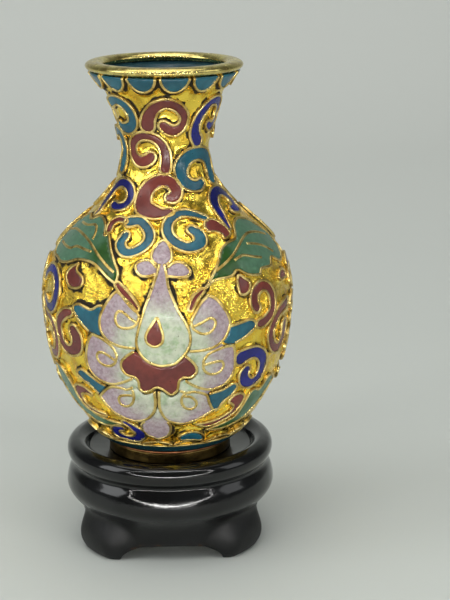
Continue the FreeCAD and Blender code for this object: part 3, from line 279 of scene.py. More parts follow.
PETALS = [
    [(OWN, [(-23, 45.9), (-24.7, 45.5), (-28.3, 43.7), (-30.7, 41.8), (-30.7, 40), (-28, 38.5), (-25, 37.9),
            (-20.6, 37.5), (-14.6, 37.4)]),
     (SHARED, [(-14.6, 37.4), (-14.3, 38.7), (-13.2, 40.5), (-12.2, 41.6), (-12.3, 42.4)]),
     (OWN, [(-12.3, 42.4), (-14.3, 43.5), (-18.3, 44.8), (-23, 45.9)])],
    [(OWN, [(-35, 38.9), (-36.9, 38.3), (-39, 36.6), (-40, 34.8), (-39.4, 33.3), (-36.2, 31.9), (-32.5, 31.3),
            (-26.9, 31.1), (-21.9, 31.6), (-16.9, 32.4)]),
     (SHARED, [(-16.9, 32.4), (-19.2, 32.75), (-21.8, 33.5), (-22.3, 34.9), (-23.4, 35.9)]),
     (OWN, [(-23.4, 35.9), (-25, 37.2), (-30, 38.4), (-35, 38.9)])],
    [(OWN, [(-7.0, 30.3), (-6.9, 28.1), (-8.1, 26.6), (-11.9, 25.3), (-17.5, 24.7), (-23.75, 25.0),
            (-30, 25.9), (-33.75, 27.2), (-36.25, 28.5)]),
     (OWN, [(-36.25, 28.5), (-33.1, 29.5), (-28.75, 30.5), (-23.75, 30.6), (-20, 30.4), (-17.2, 30.9)]),
     (SHARED, [(-17.2, 30.9), (-14.8, 30.6), (-12.2, 29.7), (-8.8, 29.9), (-7.0, 30.3)])],
    [(OWN, [(18, 45.3), (21.7, 44.6), (25, 43.1), (27, 41.8), (27.7, 40.5), (25.6, 38.7), (22.5, 37.65),
            (18.8, 37.1), (13.75, 36.9), (9.2, 36.9)]),
     (SHARED, [(9.2, 36.9), (10.1, 38.3), (10.0, 39.6), (9.3, 40.7), (9.8, 41.6)]),
     (OWN, [(9.8, 41.6), (11, 42.4), (14.3, 44.2), (18, 45.3)])],
    [(OWN, [(30, 37), (30.75, 35.9), (31.25, 34.4), (30.9, 32.65), (28.75, 31.35), (25, 30.5), (20, 30.2),
            (15, 30.6), (10.6, 31.35), (7.5, 32.1)]),
     (SHARED, [(7.5, 32.1), (10.5, 32.2), (13.3, 33.3), (13.2, 34.7), (15.6, 35.3)]),
     (OWN, [(15.6, 35.3), (18.1, 36.3), (22.5, 36.8), (26.25, 37.1), (30, 37)])],
    [(OWN, [(-4.8, 30.3), (-5, 28.1), (-4.4, 26.8), (-1.9, 25.3), (1.9, 24.6), (7.5, 24.3), (13.75, 24.8),
            (20, 25.8), (22.8, 26.35)]),
     (OWN, [(22.8, 26.35), (20, 27.9), (18.4, 29.2), (15, 29.8), (11.25, 30.1), (8, 30.0), (5, 30.4)]),
     (SHARED, [(5, 30.4), (3.6, 29.7), (0.6, 29.3), (-2.5, 30.1), (-4.8, 30.3)])],
]
CURLS = [
    [(-12.3, 42.4), (-14.3, 41.0), (-18.3, 40.5), (-21.7, 40.7), (-23.3, 41.8),
     (-22.3, 42.9), (-20, 43.0), (-16.4, 42.1), (-13.2, 41.4)],
    [(-23.4, 35.9), (-24.7, 34.7), (-28, 34.1), (-31.9, 34.4), (-33.7, 35.3),
     (-32.8, 36.1), (-30, 36.2), (-26.4, 35.6), (-23.9, 35.0)],
    [(-17.5, 30.4), (-17.2, 29.2), (-18.4, 28.1), (-21.25, 27.4), (-24.4, 27.5),
     (-25.6, 28.3), (-24.4, 29.1), (-20.6, 29.4), (-17.5, 29.4)],
    [(9.8, 41.6), (10.7, 40.5), (14.3, 39.6), (17.7, 39.6), (20, 40.3),
     (20.7, 41.35), (18.3, 41.9), (14.6, 41.3), (10.8, 40.8)],
    [(15.6, 35.3), (15.6, 34), (17.5, 33.1), (20.6, 32.8), (23.75, 33.1),
     (25.3, 34), (24.1, 34.8), (20.4, 34.8), (15.8, 34.5)],
    [(8, 30.0), (6.2, 29.3), (5.9, 28.4), (7.5, 27.4), (10.6, 27),
     (13.1, 27.4), (13.2, 28.3), (10.4, 29.2), (7.2, 29.4)],
]
BUD = [
    [(OWN, [(-5, 49.8), (-7.9, 50.5), (-8, 51.4), (-5.5, 52.4), (-2, 52.9), (0.8, 52.4), (2.4, 51.4),
            (2, 50.4), (-0.3, 49.8)]), (SHARED, [(-0.3, 49.8), (-5, 49.8)])],
    [(OWN, [(-5.2, 49.4), (-8, 50.2), (-11, 50.4), (-15.3, 49.9), (-15, 49), (-12.3, 48.3), (-8.3, 48.3),
            (-5.6, 48.6)]), (SHARED, [(-5.6, 48.6), (-5.2, 49.4)])],
    [(OWN, [(0.1, 48.3), (5, 48.1), (9.3, 48.2), (11, 48.8), (9, 49.7), (6.7, 50.1), (3, 50.0), (0.1, 49.4)]),
     (SHARED, [(0.1, 49.4), (0.1, 48.3)])],
    [(SHARED, [(-6, 27.4), (-7.6, 26.2), (-10.4, 25.3), (-13.6, 24.75)]),
     (OWN, [(-13.6, 24.75), (-15.8, 24.0), (-16, 23.0), (-13.8, 21.9), (-10.2, 21.5), (-8, 21.1),
            (-5.2, 21.3), (-1.6, 21.8), (0.4, 22.9), (0.2, 23.9), (-1.2, 24.7)]),
     (SHARED, [(-1.2, 24.7), (-3.4, 25.7), (-4.9, 26.6), (-6, 27.4)])],
]
FINGERS = [
    [(OWN, [(-29.6, 43.5), (-31.7, 43.5), (-35.7, 42.75), (-42.3, 43.2), (-45.7, 42.9), (-46.2, 42.4),
            (-45.7, 42), (-42.3, 40.7), (-37, 39.3)]),
     (SHARED, [(-37, 39.3), (-34, 39.15), (-31, 39.0), (-31.2, 40.4), (-31.2, 41.7), (-29.6, 43.5)])],
    [(OWN, [(-31.5, 30.6), (-34.4, 30.9), (-40, 31.9), (-45, 32.6), (-48.7, 31.7), (-45, 30.7), (-41.3, 30.2),
            (-36.8, 28.9)]), (SHARED, [(-36.8, 28.9), (-33.1, 29.9), (-31.5, 30.6)])],
    [(OWN, [(28, 40.2), (33.75, 40.5), (38.75, 40.65), (41.6, 40), (41.25, 39.1), (36.25, 38.1),
            (30.6, 37.4)]),
     (SHARED, [(30.6, 37.4), (26.5, 37.5), (25.0, 37.9), (26.6, 38.9), (28, 40.2)])],
    [(OWN, [(19.6, 29.4), (22.5, 29.6), (26.25, 29.8), (32.5, 30.6), (34.7, 29.8), (32.5, 28.7),
            (28.1, 27.65), (25, 26.2), (23.3, 26.5)]), (SHARED, [(23.3, 26.5), (20.8, 27.9), (19.6, 29.4)])],
]
LEAVES = [
    [(OWN, [(-24.3, 48.9), (-30.3, 50.9), (-38.3, 53.1), (-41, 52.9), (-45, 54.0), (-51.7, 54.8),
            (-58.3, 55.0), (-63.7, 54.5), (-67.7, 54.4), (-75, 54.8), (-84, 53.4)]),
     (OWN, [(-84, 53.4), (-82, 50.6), (-76.3, 49), (-68.3, 48.7), (-63.7, 48.4), (-57, 48.7), (-50.3, 49.4),
            (-42.3, 49.5), (-35.7, 49), (-28.3, 47.65), (-24.3, 47)]),
     (OWN, [(-24.3, 47), (-23.6, 48), (-24.3, 48.9)])],
    [(OWN, [(17, 46.3), (21.7, 48.1), (26.3, 49.8), (30.3, 51.2), (36.3, 51.9), (43.7, 52.3), (50.3, 53.8),
            (59, 54.4), (68.3, 54), (73.7, 53.1), (80, 51.2)]),
     (OWN, [(80, 51.2), (77, 48.6), (70, 47.6), (62.3, 48.7), (58.3, 47.65), (50.3, 47.7), (47.7, 47),
            (40.3, 47.4), (35, 48.3), (31, 47.6), (21.7, 47.3), (17, 46.3)])],
]
VEINS = [
    [(-26, 48.5), (-38.3, 50.5), (-47.7, 51.7), (-58.3, 52.4), (-71.7, 52.65), (-81, 52.2)],
    [(-48.2, 52.2), (-50, 53.2), (-55, 53.9), (-63, 53.6), (-73, 53.6)],
    [(-43.5, 50.7), (-49, 50.8), (-57, 50.9), (-62.3, 50.4), (-76, 50.6)],
    [(23.7, 48.6), (33.7, 50), (45, 51.6), (55, 52.4), (65, 52.2), (74, 51.4)],
    [(35.3, 49.6), (41.7, 50.0), (48.3, 49.5), (53.7, 49.1)],
    [(49, 51.3), (55, 51), (61.7, 50.3), (67, 49.2)],
]
LOW_LEAVES = [
    [(OWN, [(-72, 31.6), (-65, 31.6), (-58.5, 30.0), (-54, 27.2), (-47, 25.0), (-38, 24.1), (-28, 23.7)]),
     (OWN, [(-28, 23.7), (-37, 22.9), (-46, 22.9), (-56, 24.3), (-64, 26.6), (-70, 28.8), (-72, 31)])],
    [(OWN, [(22, 22.5), (32, 23.2), (39.8, 24.2), (42.5, 26.0), (45.6, 28.1), (48.4, 28.4), (52.5, 28.0),
            (57.5, 29.4), (61.25, 29.8), (66, 28.8)]),
     (OWN, [(66, 28.8), (61, 27.2), (55, 25.1), (48.1, 23.3), (38.75, 22.4), (30, 22.2), (22, 22.5)])],
]
LOW_HOOK = [
    (OWN, [(31.3, 27.3), (33.1, 28.2), (37.5, 28.5), (40.9, 27.9), (41.2, 26.9), (39, 25.4), (34, 24.3),
           (27.5, 23.5), (21.25, 23.2), (15, 23.9)]),
    (OWN, [(15, 23.9), (21.25, 24.0), (27.5, 24.4), (32.5, 25.1), (35.0, 25.7), (35.4, 26.3), (33.5, 26.9),
           (31.3, 27.3)]),
]
INFILLS = [              # celadon enamel between the petals, the bulb and the heart
    [(SHARED, [(-30, 38.1), (-25, 37.9), (-20.6, 37.5), (-14.6, 37.4)]),
     (SHARED, [(-14.6, 37.4), (-15.3, 36.9)]),
     (SHARED, [(-15.3, 36.9), (-19.4, 35.9), (-22.3, 34.9)]),
     (SHARED, [(-22.3, 34.9), (-23.4, 35.9), (-25, 37.2), (-30, 38.1)])],
    [(SHARED, [(-27, 31.0), (-21.9, 31.6), (-16.9, 32.4), (-14.4, 32.0)]),
     (SHARED, [(-14.4, 32.0), (-14.2, 30.8), (-17.2, 30.9), (-20, 30.4), (-23.75, 30.6), (-27, 31.0)])],
    [(SHARED, [(9.2, 36.9), (7.9, 36.2), (11.6, 34.9), (13.4, 34.2)]), (SHARED, [(13.4, 34.2), (15.6, 35.3)]),
     (SHARED, [(15.6, 35.3), (18.1, 36.3), (22.5, 36.8), (25, 37.4)]),
     (SHARED, [(25, 37.4), (22.5, 37.6), (18.8, 37.1), (13.75, 36.9), (9.2, 36.9)])],
    [(SHARED, [(4.5, 32.0), (4.3, 30.9), (5, 30.4), (8, 30.0), (11.25, 30.1), (15, 29.8), (18.4, 29.4)]),
     (SHARED, [(18.4, 29.4), (20, 30.2), (15, 30.6), (10.6, 31.35), (7.5, 32.1), (4.5, 32.0)])],
]
COMMAS = [
    [(OWN, [(26.3, 54.2), (28.3, 54.8), (33.7, 55.1), (39, 54.7), (42.6, 53.7), (42.3, 52.85), (36.3, 52.5),
            (35.7, 53.1), (32.3, 53.5), (27.7, 53.6), (26.3, 54.2)])],
    [(OWN, [(-48.3, 49.0), (-53, 47.9), (-54, 46.8), (-51, 45.6), (-46.3, 45.4), (-42.7, 45.9), (-42, 46.9),
            (-45, 47.5), (-48, 48.0), (-48.3, 49.0)])],
    [(OWN, [(33.3, 46.8), (33.7, 45), (35.7, 44.6), (39, 45), (40.3, 46.2), (38.3, 46.8), (35, 47.6),
            (33.3, 46.8)])],
]


# ------------------------------------------------------------------ materials
class Nodes:
    """A short way to write a material's nodes."""

    def __init__(self, name):
        self.material = bpy.data.materials.new(name)
        self.material.use_nodes = True
        self.tree = self.material.node_tree
        self.shader = self.tree.nodes["Principled BSDF"]

    def set(self, **values):
        """Sets or links the shader's inputs."""
        for key, value in values.items():
            self.put(self.shader.inputs[key.replace("_", " ")], value)

    def put(self, socket, value):
        if isinstance(value, bpy.types.NodeSocket):
            self.tree.links.new(value, socket)
        elif isinstance(value, tuple) and len(value) == 3 and len(socket.default_value) == 4:
            socket.default_value = value + (1.0,)
        else:
            socket.default_value = value

    def node(self, kind, inputs=(), **settings):
        made = self.tree.nodes.new("ShaderNode" + kind)
        for key, value in settings.items():
            setattr(made, key, value)
        for key, value in dict(inputs).items():
            self.put(made.inputs[key], value)
        return made

    def place(self):
        return self.node("TexCoord").outputs["Object"]

    def maths(self, operation, a, b=0.0):
        made = self.node("Math", operation=operation)
        self.put(made.inputs[0], a)
        self.put(made.inputs[1], b)
        return made.outputs[0]

    def plus(self, a, b):
        return self.maths("ADD", a, b)

    def times(self, a, b):
        return self.maths("MULTIPLY", a, b)

    def height(self):
        """The height of a place on the object, in millimetres."""
        return self.times(self.node("SeparateXYZ", {"Vector": self.place()}).outputs[2], 1.0 / MM)

    def noise(self, size, detail=2.0, roughness=0.5, distortion=0.0):
        """Noise with features about this many millimetres across."""
        return self.node("TexNoise", {"Vector": self.place(), "Scale": 1000.0 / size, "Detail": detail,
                                      "Roughness": roughness, "Distortion": distortion}).outputs[0]

    def cells(self, size):
        return self.node("TexVoronoi", {"Vector": self.place(), "Scale": 1000.0 / size}).outputs["Distance"]

    def ramp(self, value, low, high, start=0.0, end=1.0):
        """A soft step from start to end while the value goes from low to high."""
        made = self.node("MapRange", {"Value": value, "From Min": low, "From Max": high,
                                      "To Min": start, "To Max": end}, interpolation_type="SMOOTHSTEP")
        return made.outputs[0]

    def mix(self, share, a, b):
        made = self.node("Mix", data_type="RGBA")
        self.put(made.inputs[0], share)
        self.put(made.inputs[6], a)
        self.put(made.inputs[7], b)
        return made.outputs[2]

    def bump(self, height, depth, below=None):
        """A bump this many millimetres deep."""
        inputs = {"Height": height, "Strength": 1.0, "Distance": depth * MM}
        if below is not None:
            inputs["Normal"] = below
        return self.node("Bump", inputs).outputs[0]

    def attribute(self, name):
        return self.node("Attribute", attribute_name=name).outputs["Fac"]


def srgb(code):
    """A colour from its six hexadecimal digits."""
    parts = [int(code[i:i + 2], 16) / 255.0 for i in (0, 2, 4)]
    return tuple(p / 12.92 if p <= 0.04045 else ((p + 0.055) / 1.055)**2.4 for p in parts)


def angle_from_front(m):
    """The angle from the nearer face's middle, in degrees, the same on both faces of the vase."""
    axes = m.node("SeparateXYZ", {"Vector": m.place()}).outputs
    ratio = m.maths("DIVIDE", axes[0], m.times(axes[1], -1.0))
    return m.times(m.maths("ARCTANGENT", ratio), math.degrees(1.0))


def polished(m, colour, roughness=0.24):
    """Ground and polished enamel: pinholes, a trace of waviness and a faint mottle."""
    mottle = m.ramp(m.noise(0.9, 3.0), 0.3, 0.75)
    colour = m.mix(m.times(mottle, 0.22), colour, srgb("0c1416"))
    pits = m.ramp(m.cells(1.1), 0.05, 0.1, 1.0, 0.0)
    rare = m.ramp(m.noise(2.4, 0.0), 0.56, 0.6)
    pits = m.times(pits, rare)
    colour = m.mix(m.times(pits, 0.8), colour, srgb("141010"))
    bumps = m.bump(m.noise(1.6, 2.0), 0.03)
    bumps = m.bump(pits, -0.05, bumps)
    m.set(Base_Color=colour, Roughness=roughness, Normal=bumps, Specular_IOR_Level=0.35, Coat_Weight=0.1,
          Coat_Roughness=0.1)
    return m.material


def plain_enamel(name, base, shade):
    """Enamel of one colour with a slightly darker shade in it."""
    m = Nodes(name)
    return polished(m, m.mix(m.ramp(m.noise(5.0, 2.0), 0.35, 0.65), srgb(base), srgb(shade)))


def petal_enamel():
    """Mauve towards the lotus's rim and celadon white towards its heart, both of fine grains."""
    m = Nodes("petal enamel")
    middle_angle, middle_height, mm_per_degree = -2.5, 36.0, 0.34
    across = m.times(m.maths("SUBTRACT", angle_from_front(m), middle_angle), mm_per_degree)
    up = m.maths("SUBTRACT", m.height(), middle_height)
    upper = m.times(m.maths("MAXIMUM", up, 0.0), 0.88)
    lower = m.times(m.maths("MINIMUM", up, 0.0), 0.7)
    upright = m.plus(m.maths("POWER", upper, 2.0), m.maths("POWER", lower, 2.0))
    far = m.maths("POWER", m.plus(m.maths("POWER", across, 2.0), upright), 0.5)
    grains = m.plus(m.times(m.noise(0.35, 3.0, 0.7), 3.4), m.times(m.noise(2.6, 2.0), 5.0))
    share = m.ramp(m.plus(far, grains), 9.0, 14.0)
    pale = m.mix(m.ramp(m.noise(1.3, 3.0, 0.7), 0.45, 0.66), srgb("bac1aa"), srgb("9cb08c"))
    mauve = m.mix(m.ramp(m.noise(0.5, 3.0, 0.7), 0.35, 0.65), srgb("957f88"), srgb("ac9fa2"))
    return polished(m, m.mix(share, pale, mauve), 0.3)


def leaf_enamel():
    """Strong green by the stem, bluish green outwards."""
    m = Nodes("leaf enamel")
    away = m.maths("ABSOLUTE", angle_from_front(m))
    grains = m.times(m.noise(1.2, 3.0, 0.65), 16.0)
    drift = m.times(m.noise(4.0, 1.0), 26.0)
    share = m.ramp(m.plus(away, m.plus(grains, drift)), 52.0, 74.0)
    return polished(m, m.mix(share, srgb("284c1c"), srgb("50745c")))


def gilt(name, colour, dark, roughness):
    """Polished gilding with patches of tarnish."""
    m = Nodes(name)
    fade = m.ramp(m.noise(1.8, 3.0), 0.35, 0.7)
    gold = m.mix(fade, srgb(colour), srgb(dark))
    matt = m.ramp(m.noise(0.7, 3.0), 0.3, 0.7, roughness, roughness + 0.14)
    m.set(Base_Color=gold, Metallic=1.0, Roughness=matt, Normal=m.bump(m.noise(0.8, 1.5), 0.008))
    return m


def gold_ground():
    """The gilded hollows between the cells: crinkled, with painted shade that darkens the gold along the
    wires, and dark patches near the wires that are partly grime and partly painted shade.
    """
    m = Nodes("gilt ground")
    level = m.height()
    belt = m.times(m.ramp(level, 38.0, 42.0), m.ramp(level, 47.0, 53.0, 1.0, 0.0))
    rough_share = m.plus(m.times(belt, 0.8), 0.12)
    crinkle = m.plus(m.noise(0.45, 4.0, 0.6, 0.8), m.times(m.cells(0.5), 0.6))
    bumps = m.bump(m.noise(1.5, 2.0, 0.5, 0.4), 0.12)
    bumps = m.bump(m.times(crinkle, rough_share), 0.13, bumps)
    grime = m.attribute("grime")
    spread = m.plus(grime, m.times(m.noise(1.7, 3.0, 0.6), 1.7))
    # painted shade: more dark patches towards the neck
    spread = m.plus(spread, m.ramp(level, 55.0, 62.0, 0.0, 0.15))
    # dark patches by the wires: partly grime, partly painted shade
    grime_and_shade_patch = m.times(m.ramp(spread, 1.3, 1.5), m.ramp(grime, 0.1, 0.35))
    gold = m.mix(m.ramp(m.noise(2.2, 3.0), 0.4, 0.7), srgb("ffde58"), srgb("e8bb3e"))
    worn = m.times(m.ramp(m.noise(3.4, 3.0), 0.5, 0.7), 0.45)
    gold = m.mix(worn, gold, srgb("8f6a1e"))
    # painted shade: the gold darkens to brown right against the wires, in the creases beside them
    gold = m.mix(m.times(m.ramp(grime, 0.5, 0.9), 0.85), gold, srgb("70480f"))
    colour = m.mix(grime_and_shade_patch, gold, srgb("221b0d"))
    matt = m.plus(m.times(grime_and_shade_patch, 0.4), m.ramp(m.noise(1.1, 2.0), 0.3, 0.7, 0.16, 0.3))
    m.set(Base_Color=colour, Metallic=m.maths("SUBTRACT", 1.0, m.times(grime_and_shade_patch, 0.5)), Roughness=matt,
          Normal=bumps)
    return m.material


def lacquer():
    """Black lacquer: rubbed through at a few edges, grainy on the lower bead and dull on the feet."""
    m = Nodes("black lacquer")
    worn = m.times(m.attribute("edge"), m.ramp(m.noise(1.6, 4.0, 0.65), 0.56, 0.64))
    haze = m.ramp(m.noise(7.0, 3.0), 0.35, 0.7)
    black = m.mix(haze, srgb("050505"), srgb("0c0d0e"))
    colour = m.mix(worn, black, srgb("4a3420"))
    bumps = m.bump(m.noise(3.4, 1.5), 0.06)
    level = m.height()
    grain = m.times(m.noise(0.5, 2.0), m.ramp(level, 10.5, 13.0, 1.0, 0.3))
    bumps = m.bump(grain, 0.022, bumps)
    matt = m.plus(m.ramp(haze, 0.0, 1.0, 0.09, 0.17), m.ramp(level, 5.5, 10.5, 0.34, 0.0))
    m.set(Base_Color=colour, Roughness=m.plus(m.times(worn, 0.4), matt), Normal=bumps,
          Coat_Weight=m.ramp(level, 5.5, 9.5, 0.0, 0.28), Coat_Roughness=0.05, Specular_IOR_Level=0.34)
    return m.material


def brass(name, bright, toned, roughness):
    """Turned brass with fine scratches that run round it."""
    m = gilt(name, bright, toned, roughness)
    drawn = m.node("Mapping", {"Vector": m.place(), "Scale": (1.0, 1.0, 14.0)}).outputs[0]
    scratches = m.node("TexNoise", {"Vector": drawn, "Scale": 900.0, "Detail": 3.0}).outputs[0]
    m.set(Normal=m.bump(scratches, 0.008, m.bump(m.noise(2.5, 1.5), 0.03)))
    return m.material


def dull_copper():
    m = Nodes("dull copper")
    colour = m.mix(m.ramp(m.noise(3.0, 3.0), 0.4, 0.7), srgb("8a5230"), srgb("5c3a24"))
    m.set(Base_Color=colour, Metallic=1.0, Roughness=0.45)
    return m.material


MATERIALS = {
    "teal": plain_enamel("teal enamel", "235f70", "1d5060"),
    "maroon": plain_enamel("maroon enamel", "74372f", "62302c"),
    "cobalt": plain_enamel("cobalt enamel", "191d76", "161957"),
    "petal": petal_enamel(),
    "leaf": leaf_enamel(),
    # painted shade: the border's teal is a darker copy of the scrolls' teal, for the shade at the vase's
    # bottom edge
    "border": plain_enamel("border enamel in painted shade", "1d444c", "17363c"),
    "lining": plain_enamel("lining enamel", "2f5560", "274650"),
    "wire": gilt("gilt wire", "e8d086", "b8984e", 0.24).material,
    "ground": gold_ground(),
    "lip": brass("lip brass", "e6d684", "b8a260", 0.17),
    "foot": brass("foot brass", "8c7440", "5e4c2a", 0.3),
    "seam": gilt("solder", "c98a5c", "8f5a38", 0.32).material,
    "copper": dull_copper(),
    "lacquer": lacquer(),
}


# ------------------------------------------------------------------ meshes
def piece(name, points, faces, material, body, replaced, values=None):
    """A finished mesh of the object, from points in millimetres."""
    mesh = bpy.data.meshes.new(name)
    mesh.from_pydata((np.asarray(points, float) * MM).tolist(), [], faces)
    mesh.materials.append(MATERIALS[material])
    mesh.polygons.foreach_set("use_smooth", [True] * len(mesh.polygons))
    for key, row in (values or {}).items():
        mesh.attributes.new(key, "FLOAT", "POINT").data.foreach_set("value", np.asarray(row, np.float32))
    mesh.update()
    made = bpy.data.objects.new(name, mesh)
    bpy.context.collection.objects.link(made)
    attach(made, body)
    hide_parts(*replaced)
    return made


def grid_faces(rows, columns, closed_rows):
    """Quads between the rows of a grid whose columns run round the axis."""
    faces = []
    for i in range(rows if closed_rows else rows - 1):
        below, above = i * columns, ((i + 1) % rows) * columns
        for j in range(columns):
            k = (j + 1) % columns
            faces.append((below + j, below + k, above + k, above + j))
    return faces


def lathe(name, outline, columns, material, replaced):
    """A piece of the vase turned from its closed (radius, height) outline."""
    turns = np.linspace(0, 2 * math.pi, columns, endpoint=False)
    rows = [np.stack([r * np.cos(turns), r * np.sin(turns), np.full(columns, z)], 1) for r, z in outline]
    faces = grid_faces(len(rows), columns, True)
    piece(name, np.concatenate(rows), faces, material, "vase", replaced)


def rounded(corners, size, count=3):
    """A closed outline with its corners rounded off. Points on the axis stay."""
    made = []
    for i, (r, z) in enumerate(corners):
        if r < 1e-6:
            made.append((0.0, z))
            continue
        here, before, after = Vector((r, z)), Vector(corners[i - 1]), Vector(corners[(i + 1) % len(corners)])
        a = here + (before - here).normalized() * min(size, 0.4 * (before - here).length)
        b = here + (after - here).normalized() * min(size, 0.4 * (after - here).length)
        for n in range(count + 1):
            t = n / count
            p = a * (1 - t)**2 + here * 2 * t * (1 - t) + b * t**2
            made.append((p.x, p.y))
    return made


# A wire's section: across in shares of its width, and upwards in millimetres from its shoulders.
WIRE_SECTION = [(-0.5, -0.8), (-0.5, 0.0), (-0.42, 0.05), (-0.22, 0.085), (0.22, 0.085), (0.42, 0.05),
                (0.5, 0.0), (0.5, -0.8)]


def even_row(row, step, closed):
    """The row resampled so that its points lie step millimetres apart."""
    row = np.array([p[:2] for p in row], float)
    if closed:
        row = np.concatenate([row, row[:1]])
    space = on_side(row)
    run = np.concatenate([[0], np.cumsum(np.linalg.norm(np.diff(space, axis=0), axis=1))])
    count = max(4, int(run[-1] / step))
    places = np.linspace(0, run[-1], count + (0 if closed else 1), endpoint=not closed)
    return np.stack([np.interp(places, run, row[:, 0]), np.interp(places, run, row[:, 1])], 1)


def softened(row, closed, rounds=2):
    """The row with its small kinks worked out, its ends kept."""
    for _ in range(rounds):
        if closed:
            row = 0.5 * row + 0.25 * (np.roll(row, 1, 0) + np.roll(row, -1, 0))
        else:
            row = np.concatenate([row[:1], 0.5 * row[1:-1] + 0.25 * (row[:-2] + row[2:]), row[-1:]])
    return row


def wire_geometry(row, closed, width):
    """Points and faces of one bent wire that stands on the vase's side."""
    row = softened(even_row(row, WIRE_STEP, closed), closed)
    space, out = on_side(row), normals(row)
    if closed:
        ahead = np.roll(space, -1, 0) - np.roll(space, 1, 0)
    else:
        ahead = np.gradient(space, axis=0)
    across = np.cross(out, ahead)
    across /= np.maximum(np.linalg.norm(across, axis=1, keepdims=True), 1e-9)
    rings = [space + across * (side * width) + out * (up - WIRE_SINK) for side, up in WIRE_SECTION]
    points = np.stack(rings, 1).reshape(-1, 3)
    count, around = len(row), len(WIRE_SECTION)
    faces = []
    for i in range(count if closed else count - 1):
        here, there = i * around, ((i + 1) % count) * around
        for j in range(around):
            k = (j + 1) % around
            faces.append((here + j, there + j, there + k, here + k))
    if not closed:
        faces.append(tuple(range(around)))
        faces.append(tuple((count - 1) * around + j for j in reversed(range(around))))
    return points, faces


def fill_geometry(outline, grid=0.55):
    """Triangles that fill an outline on the vase's side, as (angle, height) points and faces."""
    ring = even_row(outline, 0.22, True)
    middle = float(ring[:, 1].mean())
    kx, ky = scales(middle)
    flat = ring * (kx, ky)
    low, high = flat.min(0), flat.max(0)
    inner = []
    for i, x in enumerate(np.arange(low[0], high[0], grid)):
        for y in np.arange(low[1] + (i % 2) * grid / 2, high[1], grid):
            if np.hypot(flat[:, 0] - x, flat[:, 1] - y).min() > 0.25 and inside((x, y), flat):
                inner.append((x, y))
    points = [Vector(p) for p in flat] + [Vector(p) for p in inner]
    made = geometry.delaunay_2d_cdt(points, [], [list(range(len(flat)))], 1, 1e-5)
    return [(v.x / kx, v.y / ky) for v in made[0]], [tuple(f) for f in made[2]]


def inside(point, ring):
    """Is the point inside the closed ring?"""
    x, y = point
    a, b = ring, np.roll(ring, -1, 0)
    spans = (a[:, 1] > y) != (b[:, 1] > y)
    crossing = a[:, 0] + (y - a[:, 1]) / np.where(spans, b[:, 1] - a[:, 1], 1.0) * (b[:, 0] - a[:, 0])
    return bool((spans & (crossing > x)).sum() % 2)


def joined(parts):
    """One list of points and faces from several."""
    points, faces, count = [], [], 0
    for part_points, part_faces in parts:
        points.append(np.asarray(part_points, float))
        faces += [tuple(i + count for i in face) for face in part_faces]
        count += len(part_points)
    return np.concatenate(points), faces


def turned_copies(points, faces, turns):
    """The same geometry turned about the axis by each of these degrees."""
    parts = []
    for turn in turns:
        c, s = math.cos(math.radians(turn)), math.sin(math.radians(turn))
        spun = points @ np.array([[c, s, 0], [-s, c, 0], [0, 0, 1]])
        parts.append((spun, faces))
    return joined(parts)


ALL_WIRES = []           # every wire's points in space, to find where the ground meets a wire


def wires(node, rows, turns=FACES, width=WIRE):
    """All the bent wires of one node, from rows of (points, closed)."""
    points, faces = joined([wire_geometry(row, closed, width) for row, closed in rows])
    points, faces = turned_copies(points, faces, turns)
    ALL_WIRES.append(points[::len(WIRE_SECTION)])
    piece("look_" + node, points, faces, "wire", "vase", [node])


def enamel(node, outlines, material, turns=FACES, depth=ENAMEL_DEPTH, name=None):
    """Polished enamel inside closed outlines, as sheets of real thickness."""
    parts = []
    for outline in outlines:
        flat, faces = fill_geometry(outline)
        flat = np.array(flat)
        dips = np.array([0.02 * noise.noise(Vector((p[0] * 9.0, p[1] * 0.6, 0.0))) for p in flat])
        r, z = section(flat[:, 1], depth + dips)
        top = np.stack([r * np.sin(flat[:, 0]), -r * np.cos(flat[:, 0]), z], 1)
        parts.append((top, [face if facing_out(top, face) else face[::-1] for face in faces]))
    points, faces = turned_copies(*joined(parts), turns)
    made = piece("look_" + (name or node), points, faces, material, "vase", [node])
    sheet = made.modifiers.new("thickness", "SOLIDIFY")
    sheet.thickness = ENAMEL_SHEET * MM
    sheet.offset = -1.0


def facing_out(points, face):
    """Does the face look away from the axis?"""
    a, b, c = (points[i] for i in face[:3])
    return float(np.dot(np.cross(b - a, c - a)[:2], a[:2])) > 0


# ------------------------------------------------------------------ the decoration
def build_bands(groups):
    """The enamel of each group of scrolls. Gives back the rows for their wires."""
    rows = []
    for node, bands in groups.items():
        outlines = [band(points) for points in bands]
        enamel(node, outlines, node.split("_")[-1])
        rows += [(outline, True) for outline in outlines]
    return rows


def build_cells(cells, name, material, width=WIRE):
    """The enamel cells of one kind and the wires along their own sides."""
    made = [cell(sides) for sides in cells]
    enamel(name + "_enamel", [outline for outline, _ in made], material)
    wires(name + "_wires", [(row, False) for _, rows in made for row in rows], width=width)


def build_lotus_core():
    """The heart, the bulb and the drop in the bulb, which stands a little proud of it."""
    build_cells([[(OWN, HEART_LOW), (SHARED, HEART_TOP)]], "heart", "maroon")
    build_cells([[(OWN, BULB), (SHARED, [BULB[-1], BULB[0]])]], "bulb", "petal")
    drop, _ = cell([(OWN, TEARDROP)])
    enamel("teardrop_enamel", [drop], "maroon", depth=-0.02)
    wires("teardrop_wires", [(drop, True)], width=1.2 * WIRE)


def build_lappets():
    """Teal half discs that hang side by side under the lip."""
    half, low, high = 10.9, 74.2, 76.35
    arch = [(half * math.sin(math.radians(t)), high - (high - low) * math.cos(math.radians(t)))
            for t in range(-90, 91, 15)]
    outline, rows = cell([(OWN, arch), (SHARED, [arch[-1], arch[0]])])
    first_turn = 7.8
    turns = [first_turn + 360.0 / LAPPETS * n for n in range(LAPPETS)]
    enamel("lappet_enamel", [outline], "teal", turns)
    wires("lappet_wires", [(row, False) for row in rows], turns=turns)


